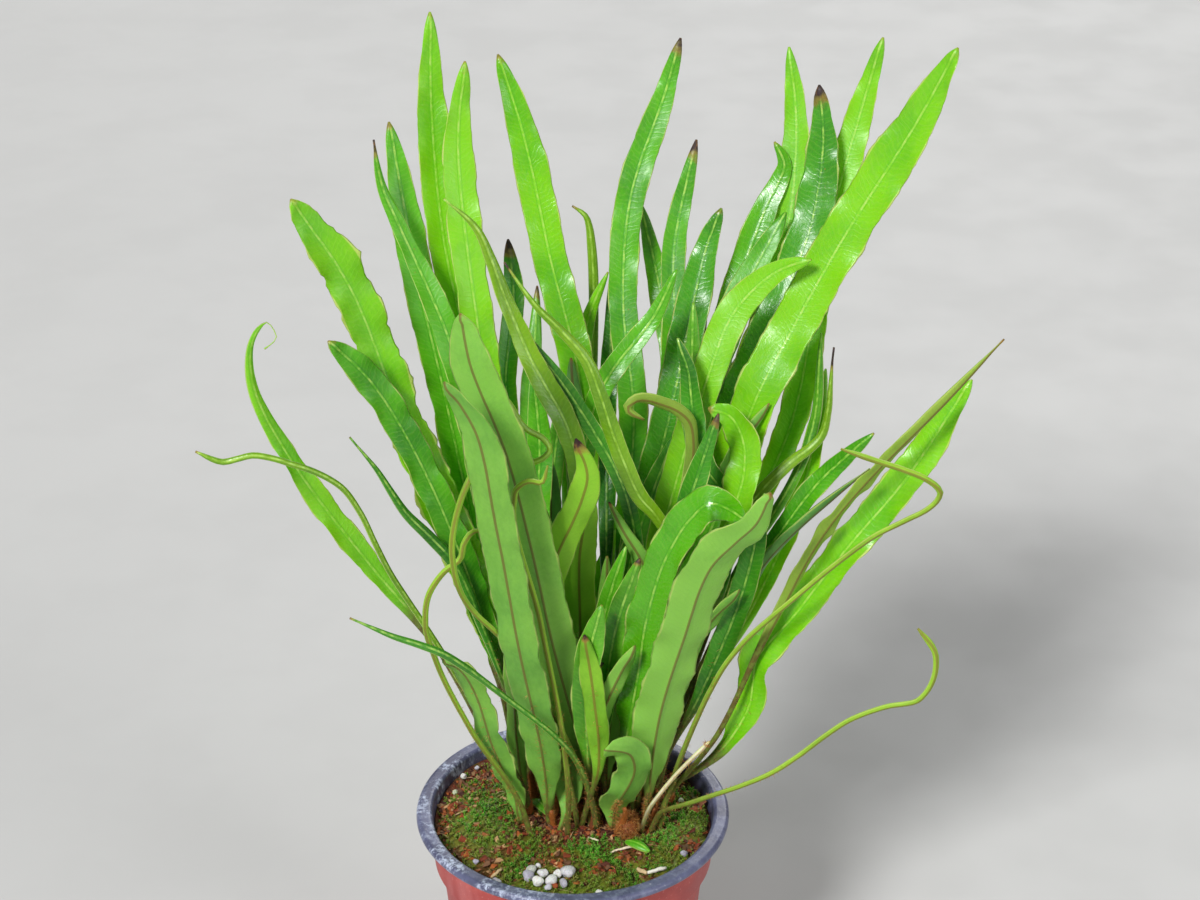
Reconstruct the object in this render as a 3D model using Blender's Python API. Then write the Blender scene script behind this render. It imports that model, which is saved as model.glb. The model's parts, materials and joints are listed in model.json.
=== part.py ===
"""A fern in a round nursery pot: pot, potting mix, moss, rhizome and every frond as its own solid.

Lengths are in millimetres and become metres when a mesh is made. X is to the right, Y runs to
the back and Z is up. The origin is the middle of the flat underside of the pot. A frond is a
ribbon with four corners all round: two margins, a low rib on the upper side and a higher rib on
the underside.
"""

import math
from collections import namedtuple

import bmesh
import bpy
import numpy as np
from mathutils.bvhtree import BVHTree

MM = 0.001

# Pot
RIM_RADIUS = 60.0
POT_HEIGHT = 105.0
LIP_WIDTH = 4.7
LIP_HEIGHT = 3.4
COLLAR_HEIGHT = 21.0
COLLAR_DRAFT = 2.1
STEP_WIDTH = 2.7
STEP_RISE = 1.5
BODY_DRAFT = 8.5
WALL = 1.4
FLOOR = 1.5
FOOT_ROUNDING = 2.0
POT_SEGMENTS = 48

DRAIN_HOLES = 5
DRAIN_DIAMETER = 9.0
DRAIN_INSET = 15.0
DRAIN_SIDES = 20

# Potting mix and moss
GAP = 0.3
SOIL_DROP = 8.0
SOIL_CROWNING = 1.0
SOIL_SEGMENTS = 48
MOSS_THICKNESS = 3.6
MOSS_MARGIN = 1.2

# The patch of potting mix that the fronds stand in
CROWN_X = 8.0
CROWN_Y = 12.0
CROWN_HALF_WIDTH = 36.0
CROWN_HALF_DEPTH = 28.0
FEET_BACK = 34.0
FEET_FRONT = -7.0

# Rhizome
RHIZOME_LENGTH = 12.0
RHIZOME_RADIUS = 3.5
RHIZOME_AXIS_GAP = 19.9
RHIZOME_Y = -7.0

# Fronds
STIPE_WIDTH = 2.2
STIPE_UPPER_RIB = 0.8
STIPE_UNDER_RIB = 1.1
BLADE_UPPER_RIB = 0.25
BLADE_UNDER_RIB = 0.65
TIP_WIDTH = 0.8
RING_SPACING = 15.0
LAST_RING_SHARE = 0.35
STIPE_RISE = 22.0

# A blade widens over this share of its length, and more slowly the longer its stipe
BLADE_SPREAD = 0.2
BLADE_SPREAD_GAIN = 0.5

# How blades narrow to their tips: over what share of the length, and by which power
ROUNDED = (0.03, 0.5)
BLUNT = (0.09, 0.5)
ACUTE = (0.14, 0.52)
SLENDER = (0.3, 0.75)
LONG_POINT = (0.45, 1.0)

# How far the upper side of a blade turns to the middle of the plant, and up, as it faces forward
# or back
INWARD_TURN = 0.7
UPWARD_TURN = 0.4

# Space kept between fronds where one passes in front of another
COMB_GAP = 0.35
COMB_STEP = 0.4
COMB_REACH = 26.0
COMB_ROUNDS = 400

UPPER_SEEN = 1
UNDER_SEEN = -1

TERRACOTTA = (0.42, 0.10, 0.08)
PEAT = (0.10, 0.055, 0.035)
MOSS_GREEN = (0.20, 0.38, 0.03)
RHIZOME_BROWN = (0.30, 0.13, 0.05)
LIME = (0.24, 0.55, 0.02)
MID_GREEN = (0.07, 0.36, 0.03)
DEEP_GREEN = (0.03, 0.22, 0.06)
GREY_GREEN = (0.16, 0.30, 0.11)
OLIVE = (0.22, 0.30, 0.04)
STRAW = (0.55, 0.50, 0.33)

Frond = namedtuple("Frond", "name tone side foot_x width bare through tip", defaults=(ACUTE,))

# From the back of the plant to the front. foot_x is where the stipe leaves the potting mix, bare
# is the share of the length that is stipe without a blade, through holds the places that the
# midrib passes, as x, y and height above the potting mix, up to the tip, and tip is how the blade
# narrows there.
FRONDS = (
    Frond("right_back", LIME, UPPER_SEEN, 22, 12, 0.25,
          ((60, 30, 104), (81, 40, 150), (94, 68, 214), (105, 82, 254), (113, 85, 285))),
    Frond("right_lime", LIME, UPPER_SEEN, 16, 11, 0.25,
          ((55, 52, 130), (80, 76, 212), (83, 90, 252), (80, 98, 277))),
    Frond("tall_middle", MID_GREEN, UPPER_SEEN, 8, 11, 0.2,
          ((23, 48, 146), (19, 66, 190), (22, 80, 226), (34, 92, 260), (40, 96, 281))),
    Frond("short_dark", DEEP_GREEN, UPPER_SEEN, -8, 8, 0.3,
          ((-25, 60, 160), (-22, 72, 186), (-24, 80, 208)), BLUNT),
    Frond("thin_hook", OLIVE, UPPER_SEEN, 2, 3.8, 0.3,
          ((8, 80, 180), (7, 86, 205), (5, 88, 214), (0, 88, 218)), BLUNT),
    Frond("pale_lean", GREY_GREEN, UPPER_SEEN, 28, 9, 0.3,
          ((38, 60, 160), (33, 79, 188), (26, 90, 218))),
    Frond("middle_tall", LIME, UPPER_SEEN, -3, 13, 0.2,
          ((3, 52, 158), (-8, 70, 204), (-18, 85, 248), (-27, 92, 276))),
    Frond("right_of_middle", MID_GREEN, UPPER_SEEN, 18, 9, 0.3,
          ((38, 58, 176), (38, 72, 208), (46, 84, 246))),
    Frond("hooked_gloss", MID_GREEN, UPPER_SEEN, 24, 11, 0.25,
          ((44, 46, 125), (61, 68, 192), (73, 81, 223), (79, 86, 236), (75, 88, 244))),
    Frond("tall_left", LIME, UPPER_SEEN, -14, 12, 0.2,
          ((-37, 45, 170), (-47, 62, 216), (-51, 78, 258), (-51, 86, 294))),
    Frond("mid_right", MID_GREEN, UPPER_SEEN, 14, 12, 0.25,
          ((48, 44, 155), (63, 57, 196), (79, 72, 222))),
    Frond("left_back", MID_GREEN, UPPER_SEEN, -20, 12, 0.2,
          ((-47, 38, 165), (-56, 53, 201), (-66, 70, 258))),
    Frond("broad_right", DEEP_GREEN, UPPER_SEEN, 29, 15, 0.2,
          ((57, 35, 150), (73, 50, 185), (88, 66, 220), (92, 76, 250), (90, 79, 269))),
    Frond("broad_middle", DEEP_GREEN, UPPER_SEEN, 0, 13, 0.2,
          ((35, 40, 148), (44, 55, 188), (50, 65, 212), (55, 68, 225))),
    Frond("left_lime", LIME, UPPER_SEEN, -10, 12.5, 0.2,
          ((-33, 40, 180), (-41, 66, 250), (-38, 72, 280))),
    Frond("left_hook", MID_GREEN, UPPER_SEEN, -18, 11, 0.2,
          ((-41, 30, 178), (-56, 44, 214), (-68, 52, 240), (-70, 51, 258)), SLENDER),
    Frond("twin_back", GREY_GREEN, UPPER_SEEN, 20, 7, 0.3,
          ((42, 28, 160), (44, 32, 187), (44, 35, 202))),
    Frond("arch_lime", LIME, UPPER_SEEN, 10, 12.5, 0.25,
          ((48, 25, 172), (59, 32, 200), (74, 31, 216), (85, 27, 222))),
    Frond("diagonal", MID_GREEN, UPPER_SEEN, -6, 8, 0.3,
          ((5, 22, 150), (12, 26, 174), (30, 36, 196), (38, 39, 213))),
    Frond("long_right", LIME, UPPER_SEEN, 31, 17, 0.2,
          ((65, 20, 166), (79, 28, 194), (97, 34, 228), (120, 36, 269), (133, 34, 298))),
    Frond("left_wavy", LIME, UPPER_SEEN, -21, 15.5, 0.15,
          ((-32, 14, 80), (-45, 18, 120), (-62, 23, 163), (-78, 26, 211), (-97, 22, 247)), BLUNT),
    Frond("grey_twist", GREY_GREEN, UPPER_SEEN, 25, 4, 0.3,
          ((62, 20, 100), (81, 24, 134), (89, 30, 156), (90, 30, 192))),
    Frond("olive_bent", OLIVE, UPPER_SEEN, 15, 5, 0.3,
          ((50, 18, 104), (70, 19, 135), (82, 23, 145), (91, 26, 152), (94, 22, 190)), SLENDER),
    Frond("olive_long", OLIVE, UPPER_SEEN, 4, 9, 0.3,
          ((1, 10, 156), (-14, 15, 188), (-24, 20, 212), (-33, 24, 235), (-44, 24, 246)), SLENDER),
    Frond("left_second", MID_GREEN, UPPER_SEEN, -15, 11.5, 0.2,
          ((-40, 11, 108), (-57, 14, 153), (-72, 13, 182), (-85, 8, 199)), BLUNT),
    Frond("twin_front", DEEP_GREEN, UPPER_SEEN, 33, 9, 0.35,
          ((58, 3, 134), (49, 8, 147), (44, 14, 165), (42, 19, 183), (38, 20, 195))),
    Frond("crinkled", LIME, UPPER_SEEN, 21, 13, 0.35,
          ((52, 6, 118), (61, 6, 143), (62, 9, 158), (57, 12, 168), (49, 12, 171)), BLUNT),
    Frond("small_right", MID_GREEN, UPPER_SEEN, 27, 8, 0.4,
          ((60, 12, 92), (80, 12, 126), (90, 11, 142), (108, 6, 164))),
    Frond("middle_under", LIME, UNDER_SEEN, 0, 12, 0.2,
          ((3, 9, 77), (3, 7, 113), (7, 5, 140))),
    Frond("small_curl", OLIVE, UNDER_SEEN, 9, 5, 0.35,
          ((38, 9, 120), (42, 10, 167), (32, 8, 175), (23, 5, 178), (20, 3, 175), (26, 2, 171)), BLUNT),
    Frond("olive_second", OLIVE, UPPER_SEEN, 17, 6.5, 0.3,
          ((35, 3, 124), (25, 2, 140), (15, 3, 165), (5, 7, 193), (-12, 11, 211), (-23, 15, 226)), SLENDER),
    Frond("dark_blade", DEEP_GREEN, UNDER_SEEN, 30, 6, 0.3,
          ((62, 6, 96), (79, 4, 124), (93, 0, 141), (106, -4, 155)), SLENDER),
    Frond("left_small", DEEP_GREEN, UPPER_SEEN, -11, 4.5, 0.3,
          ((-34, 7, 84), (-44, 5, 112), (-60, 3, 133), (-69, 1, 151), (-78, -2, 166)), SLENDER),
    Frond("short_under", GREY_GREEN, UNDER_SEEN, -18, 8, 0.1,
          ((-21, 4, 34), (-22, 2, 72), (-24, 0, 104))),
    Frond("wavy_twist", MID_GREEN, UNDER_SEEN, 5, 6, 0.25,
          ((6, 2, 65), (12, 1, 95), (13, 1, 116))),
    Frond("low_back_right", GREY_GREEN, UNDER_SEEN, 24, 7, 0.3,
          ((39, -3, 61), (50, -5, 91), (61, -7, 107))),
    Frond("left_curl", LIME, UPPER_SEEN, -22, 11, 0.3,
          ((-49, -2, 78), (-71, -7, 115), (-95, -12, 157), (-109, -15, 191), (-108, -18, 211),
           (-102, -20, 219), (-99, -22, 214), (-103, -24, 211)), LONG_POINT),
    Frond("low_under", GREY_GREEN, UNDER_SEEN, 12, 12, 0.12,
          ((14, -3, 45), (17, -5, 78), (20, -6, 104))),
    Frond("far_tendril", OLIVE, UPPER_SEEN, -16, 2.6, 1.0,
          ((-47, -12, 83), (-64, -20, 121), (-79, -28, 160), (-96, -33, 172), (-108, -35, 176),
           (-118, -36, 174), (-127, -36, 178)), ROUNDED),
    Frond("tan_leaf", LIME, UNDER_SEEN, 1, 11.5, 0.25,
          ((-8, -12, 112), (1, -16, 140), (6, -18, 159), (2, -17, 173))),
    Frond("front_under", GREY_GREEN, UNDER_SEEN, 9, 17, 0.08,
          ((3, -8, 40), (-7, -15, 90), (-13, -23, 129), (-22, -30, 175), (-33, -33, 209),
           (-36, -31, 227)), BLUNT),
    Frond("long_lime", LIME, UPPER_SEEN, 28, 13, 0.12,
          ((54, -3, 32), (66, -7, 58), (68, -8, 78), (80, -9, 96), (100, -9, 127), (118, -8, 152),
           (140, -4, 190))),
    Frond("long_edge", OLIVE, UNDER_SEEN, 33, 7, 0.3,
          ((54, -8, 45), (71, -12, 92), (88, -15, 132), (107, -18, 162), (147, -22, 214)), SLENDER),
    Frond("gloss_front", MID_GREEN, UPPER_SEEN, 16, 14, 0.15,
          ((24, -12, 71), (28, -18, 105), (36, -23, 134), (49, -27, 153), (61, -27, 147)), BLUNT),
    Frond("dark_crossing", GREY_GREEN, UNDER_SEEN, 7, 7, 0.2,
          ((8, -10, 43), (14, -16, 67), (23, -22, 92))),
    Frond("low_left_under", GREY_GREEN, UNDER_SEEN, -20, 10, 0.0,
          ((-30, -14, 46), (-34, -19, 67), (-39, -24, 82), (-46, -28, 91))),
    Frond("left_loop", LIME, UNDER_SEEN, 10, 3.2, 1.0,
          ((-16, -28, 85), (-37, -43, 124), (-40, -48, 149), (-36, -46, 166), (-31, -43, 176)), ROUNDED),
    Frond("front_grey", GREY_GREEN, UNDER_SEEN, -9, 14, 0.0,
          ((-11, -16, 42), (-18, -30, 96), (-25, -42, 152), (-31, -48, 192), (-41, -48, 210))),
    Frond("front_right", GREY_GREEN, UNDER_SEEN, 28, 18, 0.06,
          ((32, -20, 60), (40, -33, 102), (49, -42, 137), (64, -48, 158), (68, -46, 168))),
    Frond("folded_small", GREY_GREEN, UNDER_SEEN, 15, 13, 0.0,
          ((19, -14, 22), (23, -18, 34), (21, -24, 47), (12, -29, 52)), BLUNT),
    Frond("long_stipe", DEEP_GREEN, UPPER_SEEN, 9, 5, 0.55,
          ((0, -20, 44), (-23, -38, 80), (-45, -54, 109), (-60, -60, 119), (-74, -66, 130)), SLENDER),
)

# Young fronds that have not opened, and the stub of an old stipe
SPROUTS = (
    Frond("crozier_right", LIME, UNDER_SEEN, 33, 2.6, 1.0,
          ((56, -16, 81), (79, -25, 114), (106, -34, 145), (123, -40, 159), (126, -42, 166),
           (121, -42, 171), (104, -40, 177), (92, -37, 180)), ROUNDED),
    Frond("crozier_low", LIME, UNDER_SEEN, 30, 2.4, 1.0,
          ((42, -17, 20), (73, -34, 46), (99, -45, 76), (113, -51, 86), (121, -53, 89),
           (126, -54, 98), (126, -54, 110), (120, -52, 118)), ROUNDED),
    Frond("cut_stipe", STRAW, UNDER_SEEN, 26, 1.8, 1.0,
          ((39, -8, 28), (51, -13, 46)), ROUNDED),
)


def clear_scene():
    """Takes every object out of the open scene."""
    for obj in list(bpy.data.objects):
        bpy.data.objects.remove(obj, do_unlink=True)


def make_material(name, colour, roughness):
    """A plain material with the colour and roughness of its piece."""
    material = bpy.data.materials.new(name)
    material.use_nodes = True
    shader = material.node_tree.nodes["Principled BSDF"]
    shader.inputs["Base Color"].default_value = (*colour, 1.0)
    shader.inputs["Roughness"].default_value = roughness
    shader.inputs["Metallic"].default_value = 0.0
    return material


def add_empty(name, parent=None):
    """An empty that groups pieces."""
    empty = bpy.data.objects.new(name, None)
    bpy.context.scene.collection.objects.link(empty)
    empty.parent = parent
    return empty


def add_object(name, bm, material, parent, place=(0.0, 0.0, 0.0), sharp=40.0):
    """Turns a bmesh in millimetres round its place into a named object in metres."""
    bmesh.ops.recalc_face_normals(bm, faces=bm.faces)
    bmesh.ops.scale(bm, vec=(MM, MM, MM), verts=bm.verts)
    mesh = bpy.data.meshes.new(name)
    bm.to_mesh(mesh)
    bm.free()
    mesh.shade_smooth()
    mesh.set_sharp_from_angle(angle=math.radians(sharp))
    mesh.materials.append(material)
    obj = bpy.data.objects.new(name, mesh)
    bpy.context.scene.collection.objects.link(obj)
    obj.location = [value * MM for value in place]
    obj.parent = parent
    return obj


def turned(profile, segments):
    """A bmesh made by turning an outline of (radius, height) pairs round the Z axis."""
    bm = bmesh.new()
    verts = [bm.verts.new((radius, 0.0, height)) for radius, height in profile]
    edges = [bm.edges.new(pair) for pair in zip(verts, verts[1:])]
    bmesh.ops.spin(bm, geom=verts + edges, cent=(0, 0, 0), axis=(0, 0, 1),
                   angle=2 * math.pi, steps=segments, use_merge=True)
    bmesh.ops.remove_doubles(bm, verts=bm.verts, dist=0.01)
    return bm


# Radii of the outside of the pot, from the rim down
COLLAR_TOP_RADIUS = RIM_RADIUS - LIP_WIDTH
COLLAR_FOOT_RADIUS = COLLAR_TOP_RADIUS - COLLAR_DRAFT
BODY_TOP_RADIUS = COLLAR_FOOT_RADIUS - STEP_WIDTH
BASE_RADIUS = BODY_TOP_RADIUS - BODY_DRAFT
DRAIN_CIRCLE_RADIUS = BASE_RADIUS - DRAIN_INSET

# Heights of the outside of the pot
LIP_FOOT = POT_HEIGHT - LIP_HEIGHT
COLLAR_FOOT = POT_HEIGHT - COLLAR_HEIGHT
BODY_TOP = COLLAR_FOOT - STEP_RISE

SOIL_TOP = POT_HEIGHT - SOIL_DROP


def inner_radius(height):
    """The radius of the inside of the pot's wall at a height."""
    heights = (FLOOR, BODY_TOP, COLLAR_FOOT, POT_HEIGHT)
    radii = (BASE_RADIUS, BODY_TOP_RADIUS, COLLAR_FOOT_RADIUS, COLLAR_TOP_RADIUS)
    return float(np.interp(height, heights, radii)) - WALL


def arc(centre_r, centre_z, radius, start, stop, steps):
    """Points along a round stretch of an outline, with its angles in degrees."""
    points = []
    for step in range(steps + 1):
        angle = math.radians(start + (stop - start) * step / steps)
        points.append((centre_r + radius * math.cos(angle), centre_z + radius * math.sin(angle)))
    return points


def make_pot(parent):
    """The turned pot with its stepped collar and rolled lip, and a floor with drain holes."""
    lip_rounding = LIP_HEIGHT / 2
    inner_lip = inner_radius(POT_HEIGHT)
    outline = arc(BASE_RADIUS - FOOT_ROUNDING, FOOT_ROUNDING, FOOT_ROUNDING, -90, 0, 3)
    outline += [(BODY_TOP_RADIUS, BODY_TOP), (COLLAR_FOOT_RADIUS, COLLAR_FOOT)]
    outline += [(COLLAR_TOP_RADIUS, LIP_FOOT)]
    outline += arc(RIM_RADIUS - lip_rounding, LIP_FOOT + lip_rounding, lip_rounding, -90, 90, 6)
    outline += [(inner_lip + lip_rounding, POT_HEIGHT)]
    outline += arc(inner_lip + lip_rounding, POT_HEIGHT - lip_rounding, lip_rounding, 120, 180, 2)
    outline += [(inner_radius(COLLAR_FOOT), COLLAR_FOOT), (inner_radius(BODY_TOP), BODY_TOP)]
    outline += [(inner_radius(FLOOR), FLOOR)]
    bm = turned(outline, POT_SEGMENTS)
    below = fill_floor(bm, 0.0)
    above = fill_floor(bm, FLOOR)
    for low, high in zip(below, above):
        for side in range(DRAIN_SIDES):
            after = (side + 1) % DRAIN_SIDES
            bm.faces.new((low[side], low[after], high[after], high[side]))
    add_object("pot", bm, make_material("pot_plastic", TERRACOTTA, 0.6), parent)


def fill_floor(bm, height):
    """Fills one side of the pot's floor round its drain holes, and returns their rings of corners."""
    edges = [edge for edge in bm.edges
             if edge.is_boundary and all(abs(vert.co.z - height) < FLOOR / 4 for vert in edge.verts)]
    rings = []
    for number in range(DRAIN_HOLES):
        turn = 2 * math.pi * number / DRAIN_HOLES
        middle_x = DRAIN_CIRCLE_RADIUS * math.sin(turn)
        middle_y = -DRAIN_CIRCLE_RADIUS * math.cos(turn)
        ring = []
        for side in range(DRAIN_SIDES):
            angle = 2 * math.pi * side / DRAIN_SIDES
            ring.append(bm.verts.new((middle_x + DRAIN_DIAMETER / 2 * math.cos(angle),
                                      middle_y + DRAIN_DIAMETER / 2 * math.sin(angle), height)))
        edges += [bm.edges.new(pair) for pair in zip(ring, ring[1:] + ring[:1])]
        rings.append(ring)
    bmesh.ops.triangle_fill(bm, use_beauty=True, edges=edges, normal=(0, 0, 1))
    return rings


def soil_height(x, y):
    """The height of the potting mix, a little crowned towards its middle."""
    share = min(math.hypot(x, y) / (inner_radius(SOIL_TOP) - GAP), 1.0)
    return SOIL_TOP + SOIL_CROWNING * 0.5 * (1 + math.cos(math.pi * share))


def make_soil(parent):
    """The potting mix, which fills the pot to just under its rim."""
    outline = [(0.0, FLOOR + GAP)]
    for height in (FLOOR + GAP, BODY_TOP, COLLAR_FOOT, SOIL_TOP):
        outline.append((inner_radius(height) - GAP, height))
    edge = inner_radius(SOIL_TOP) - GAP
    for share in (0.85, 0.7, 0.55, 0.4, 0.25, 0.12, 0.0):
        outline.append((edge * share, soil_height(edge * share, 0.0)))
    add_object("potting_mix", turned(outline, SOIL_SEGMENTS),
               make_material("potting_mix", PEAT, 0.95), parent)


def crown_edge(angle):
    """How far the clear patch round the fronds reaches from the pot's axis in a direction."""
    direction = np.array((math.cos(angle), math.sin(angle)))
    scale = np.array((CROWN_HALF_WIDTH, CROWN_HALF_DEPTH))
    centre = np.array((CROWN_X, CROWN_Y)) / scale
    run = direction / scale
    # The larger root of |run * t - centre| = 1
    a = run @ run
    b = -2 * run @ centre
    c = centre @ centre - 1
    return (-b + math.sqrt(b * b - 4 * a * c)) / (2 * a)


def make_moss(name, start, stop, parent):
    """A moss cushion between two directions, in degrees, from the fronds out to the wall."""
    columns = max(6, round((stop - start) / 9))
    rows = 6
    outer = inner_radius(SOIL_TOP) - GAP - MOSS_MARGIN
    bm = bmesh.new()
    layers = {"top": [], "bottom": []}
    for column in range(columns + 1):
        angle = math.radians(start + (stop - start) * column / columns)
        end = min(column, columns - column) / columns
        inner = min(crown_edge(angle) + MOSS_MARGIN, outer - MOSS_MARGIN)
        strips = {"top": [], "bottom": []}
        for row in range(rows + 1):
            across = row / rows
            radius = inner + (outer - inner) * across
            x = radius * math.cos(angle)
            y = radius * math.sin(angle)
            dome = math.sin(math.pi * (0.12 + 0.76 * across)) * min(1.0, 0.35 + 4 * end)
            lumps = 0.85 + 0.15 * math.sin(0.35 * x + 1.3) * math.cos(0.3 * y)
            low = soil_height(x, y) + GAP
            strips["bottom"].append(bm.verts.new((x, y, low)))
            strips["top"].append(bm.verts.new((x, y, low + MOSS_THICKNESS * dome * lumps)))
        layers["top"].append(strips["top"])
        layers["bottom"].append(strips["bottom"])
    close_shell(bm, layers["top"], layers["bottom"])
    add_object(name, bm, make_material(name, MOSS_GREEN, 0.9), parent)


def close_shell(bm, top, bottom):
    """Skins two grids of points and joins them round their edge."""
    last_column = len(top) - 1
    last_row = len(top[0]) - 1
    for column in range(last_column):
        for row in range(last_row):
            for grid in (top, bottom):
                bm.faces.new((grid[column][row], grid[column][row + 1],
                              grid[column + 1][row + 1], grid[column + 1][row]))
    rim = [(column, 0) for column in range(last_column)]
    rim += [(last_column, row) for row in range(last_row)]
    rim += [(column, last_row) for column in range(last_column, 0, -1)]
    rim += [(0, row) for row in range(last_row, 0, -1)]
    for (c1, r1), (c2, r2) in zip(rim, rim[1:] + rim[:1]):
        bm.faces.new((top[c1][r1], top[c2][r2], bottom[c2][r2], bottom[c1][r1]))


def make_rhizome(parent):
    """The creeping rhizome, a lumpy stem that lies on the potting mix."""
    steps = 8
    sides = 10
    bm = bmesh.new()
    rings = []
    for step in range(steps + 1):
        along = step / steps
        bulge = math.sqrt(math.sin(math.pi * (0.08 + 0.84 * along)))
        radius = RHIZOME_RADIUS * bulge * (1 + 0.08 * math.sin(7 * along))
        y = RHIZOME_LENGTH * (along - 0.5)
        ring = []
        for side in range(sides):
            angle = 2 * math.pi * side / sides
            ring.append(bm.verts.new((radius * math.cos(angle), y, radius * math.sin(angle))))
        rings.append(ring)
    skin_rings(bm, rings)
    lift = RHIZOME_RADIUS * 1.08 + GAP
    # Clear of the stipe beside it
    x = RHIZOME_AXIS_GAP + STIPE_WIDTH / 2
    place = (x, RHIZOME_Y, soil_height(x, RHIZOME_Y) + lift)
    add_object("rhizome", bm, make_material("rhizome", RHIZOME_BROWN, 0.9), parent, place)


def skin_rings(bm, rings):
    """Joins rings of equal length in turn and caps both ends."""
    for ring, following in zip(rings, rings[1:]):
        for index in range(len(ring)):
            after = (index + 1) % len(ring)
            bm.faces.new((ring[index], ring[after], following[after], following[index]))
    bm.faces.new(rings[0])
    bm.faces.new(reversed(rings[-1]))


def unit(vectors):
    """Vectors of length one."""
    return vectors / np.linalg.norm(vectors, axis=-1, keepdims=True)


def smooth_step(values):
    """Runs gently from 0 to 1."""
    values = np.clip(values, 0.0, 1.0)
    return values * values * (3 - 2 * values)


def midrib(frond, foot_y):
    """Points along a frond, on a smooth curve through its foot and its chosen places."""
    foot = np.array((frond.foot_x, foot_y, 0.0))
    places = [np.array(place, dtype=float) for place in frond.through]
    # The stipe leaves the potting mix steeply, half turned towards the first place
    rise = unit(unit(places[0] - foot) + np.array((0.0, 0.0, 0.8)))
    knots = np.array([foot, foot + STIPE_RISE * 0.5 * rise, *places])
    before = 2 * knots[0] - knots[1]
    after = 2 * knots[-1] - knots[-2]
    padded = np.vstack((before, knots, after))
    points = [knots[0]]
    for index in range(1, len(padded) - 2):
        span = padded[index - 1:index + 3]
        steps = max(2, math.ceil(np.linalg.norm(span[2] - span[1]) / RING_SPACING))
        shares = [step / steps for step in range(1, steps + 1)]
        if index == len(padded) - 3:
            shares.insert(-1, 1 - LAST_RING_SHARE / steps)
        points += [spline_point(span, share) for share in shares]
    lift = soil_height(frond.foot_x, foot_y) + GAP
    return np.array(points) + (0.0, 0.0, lift)


def spline_point(span, share):
    """A point between the middle two of four knots, on a centripetal Catmull-Rom curve."""
    times = [0.0]
    for first, second in zip(span, span[1:]):
        times.append(times[-1] + math.sqrt(np.linalg.norm(second - first)))
    at = times[1] + (times[2] - times[1]) * share

    def mix(start, stop, first, second):
        return ((stop - at) * first + (at - start) * second) / (stop - start)

    low = mix(times[0], times[1], span[0], span[1])
    middle = mix(times[1], times[2], span[1], span[2])
    high = mix(times[2], times[3], span[2], span[3])
    rising = mix(times[0], times[2], low, middle)
    falling = mix(times[1], times[3], middle, high)
    return mix(times[1], times[2], rising, falling)


def arc_share(points):
    """How far along the frond each point is, from 0 at its foot to 1 at its tip."""
    lengths = np.linalg.norm(np.diff(points, axis=0), axis=1)
    travelled = np.concatenate(([0.0], np.cumsum(lengths)))
    return travelled / travelled[-1], travelled


def frond_corners(frond, points, spare=0.0):
    """The corners of a frond, as rings of left margin, upper rib, right margin and under rib."""
    share, _ = arc_share(points)
    along = unit(np.gradient(points, axis=0))
    # The foot is cut level, flat on the potting mix
    along[0] = (0.0, 0.0, 1.0)
    inward = np.array((CROWN_X, CROWN_Y, 0.0)) - points
    inward[:, 2] = 0.0
    inward = inward / (np.linalg.norm(inward, axis=1, keepdims=True) + 20.0)
    facing = INWARD_TURN * inward + np.array((0.0, -frond.side, UPWARD_TURN))
    upward = unit(facing - np.sum(facing * along, axis=1, keepdims=True) * along)
    across = np.cross(along, upward)
    if frond.bare < 1.0:
        spread = BLADE_SPREAD + BLADE_SPREAD_GAIN * frond.bare
        blade = smooth_step((share - frond.bare) / spread)
    else:
        blade = np.zeros(len(share))
    full = frond.width if frond.bare < 1.0 else STIPE_WIDTH
    taper, power = frond.tip
    tip = np.clip((1 - share) / taper, 0.0, 1.0) ** power
    base_width = min(STIPE_WIDTH, frond.width)
    width = (base_width + (full - base_width) * blade) * tip
    half = np.maximum(width, TIP_WIDTH) / 2 + spare
    thin = np.maximum(tip, 0.5) * base_width / STIPE_WIDTH
    upper = (STIPE_UPPER_RIB + (BLADE_UPPER_RIB - STIPE_UPPER_RIB) * blade) * thin + spare
    under = (STIPE_UNDER_RIB + (BLADE_UNDER_RIB - STIPE_UNDER_RIB) * blade) * thin + spare
    corners = (
        points - across * half[:, None],
        points + upward * upper[:, None],
        points + across * half[:, None],
        points - upward * under[:, None],
    )
    return np.stack(corners, axis=1)


def ribbon_faces(rings):
    """The four-sided faces round a ribbon, with the number of the ring that each starts from."""
    faces = []
    for ring in range(rings - 1):
        for corner in range(4):
            after = (corner + 1) % 4
            low = 4 * ring
            faces.append((low + corner, low + after, low + 4 + after, low + 4 + corner))
    return faces


def frond_tree(frond, points):
    """A search tree of the frond with spare room round it, and the box that it fills."""
    corners = frond_corners(frond, points, COMB_GAP / 2).reshape(-1, 3)
    tree = BVHTree.FromPolygons(corners.tolist(), ribbon_faces(len(points)))
    return tree, corners.min(axis=0), corners.max(axis=0)


def comb(fronds, courses):
    """Parts the fronds: where two meet, the one behind leans back and the other forward."""
    for _ in range(COMB_ROUNDS):
        trees = [frond_tree(frond, points) for frond, points in zip(fronds, courses)]
        pushes = [np.zeros(len(points)) for points in courses]
        met = False
        for back, (back_tree, back_low, back_high) in enumerate(trees):
            for front in range(back + 1, len(trees)):
                front_tree, front_low, front_high = trees[front]
                if np.any(back_low > front_high) or np.any(front_low > back_high):
                    continue
                for back_face, front_face in back_tree.overlap(front_tree):
                    met = True
                    lean(pushes[back], courses[back], back_face // 4, COMB_STEP)
                    lean(pushes[front], courses[front], front_face // 4, -COMB_STEP)
        if not met:
            break
        for points, push in zip(courses, pushes):
            points[:, 1] += push


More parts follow.
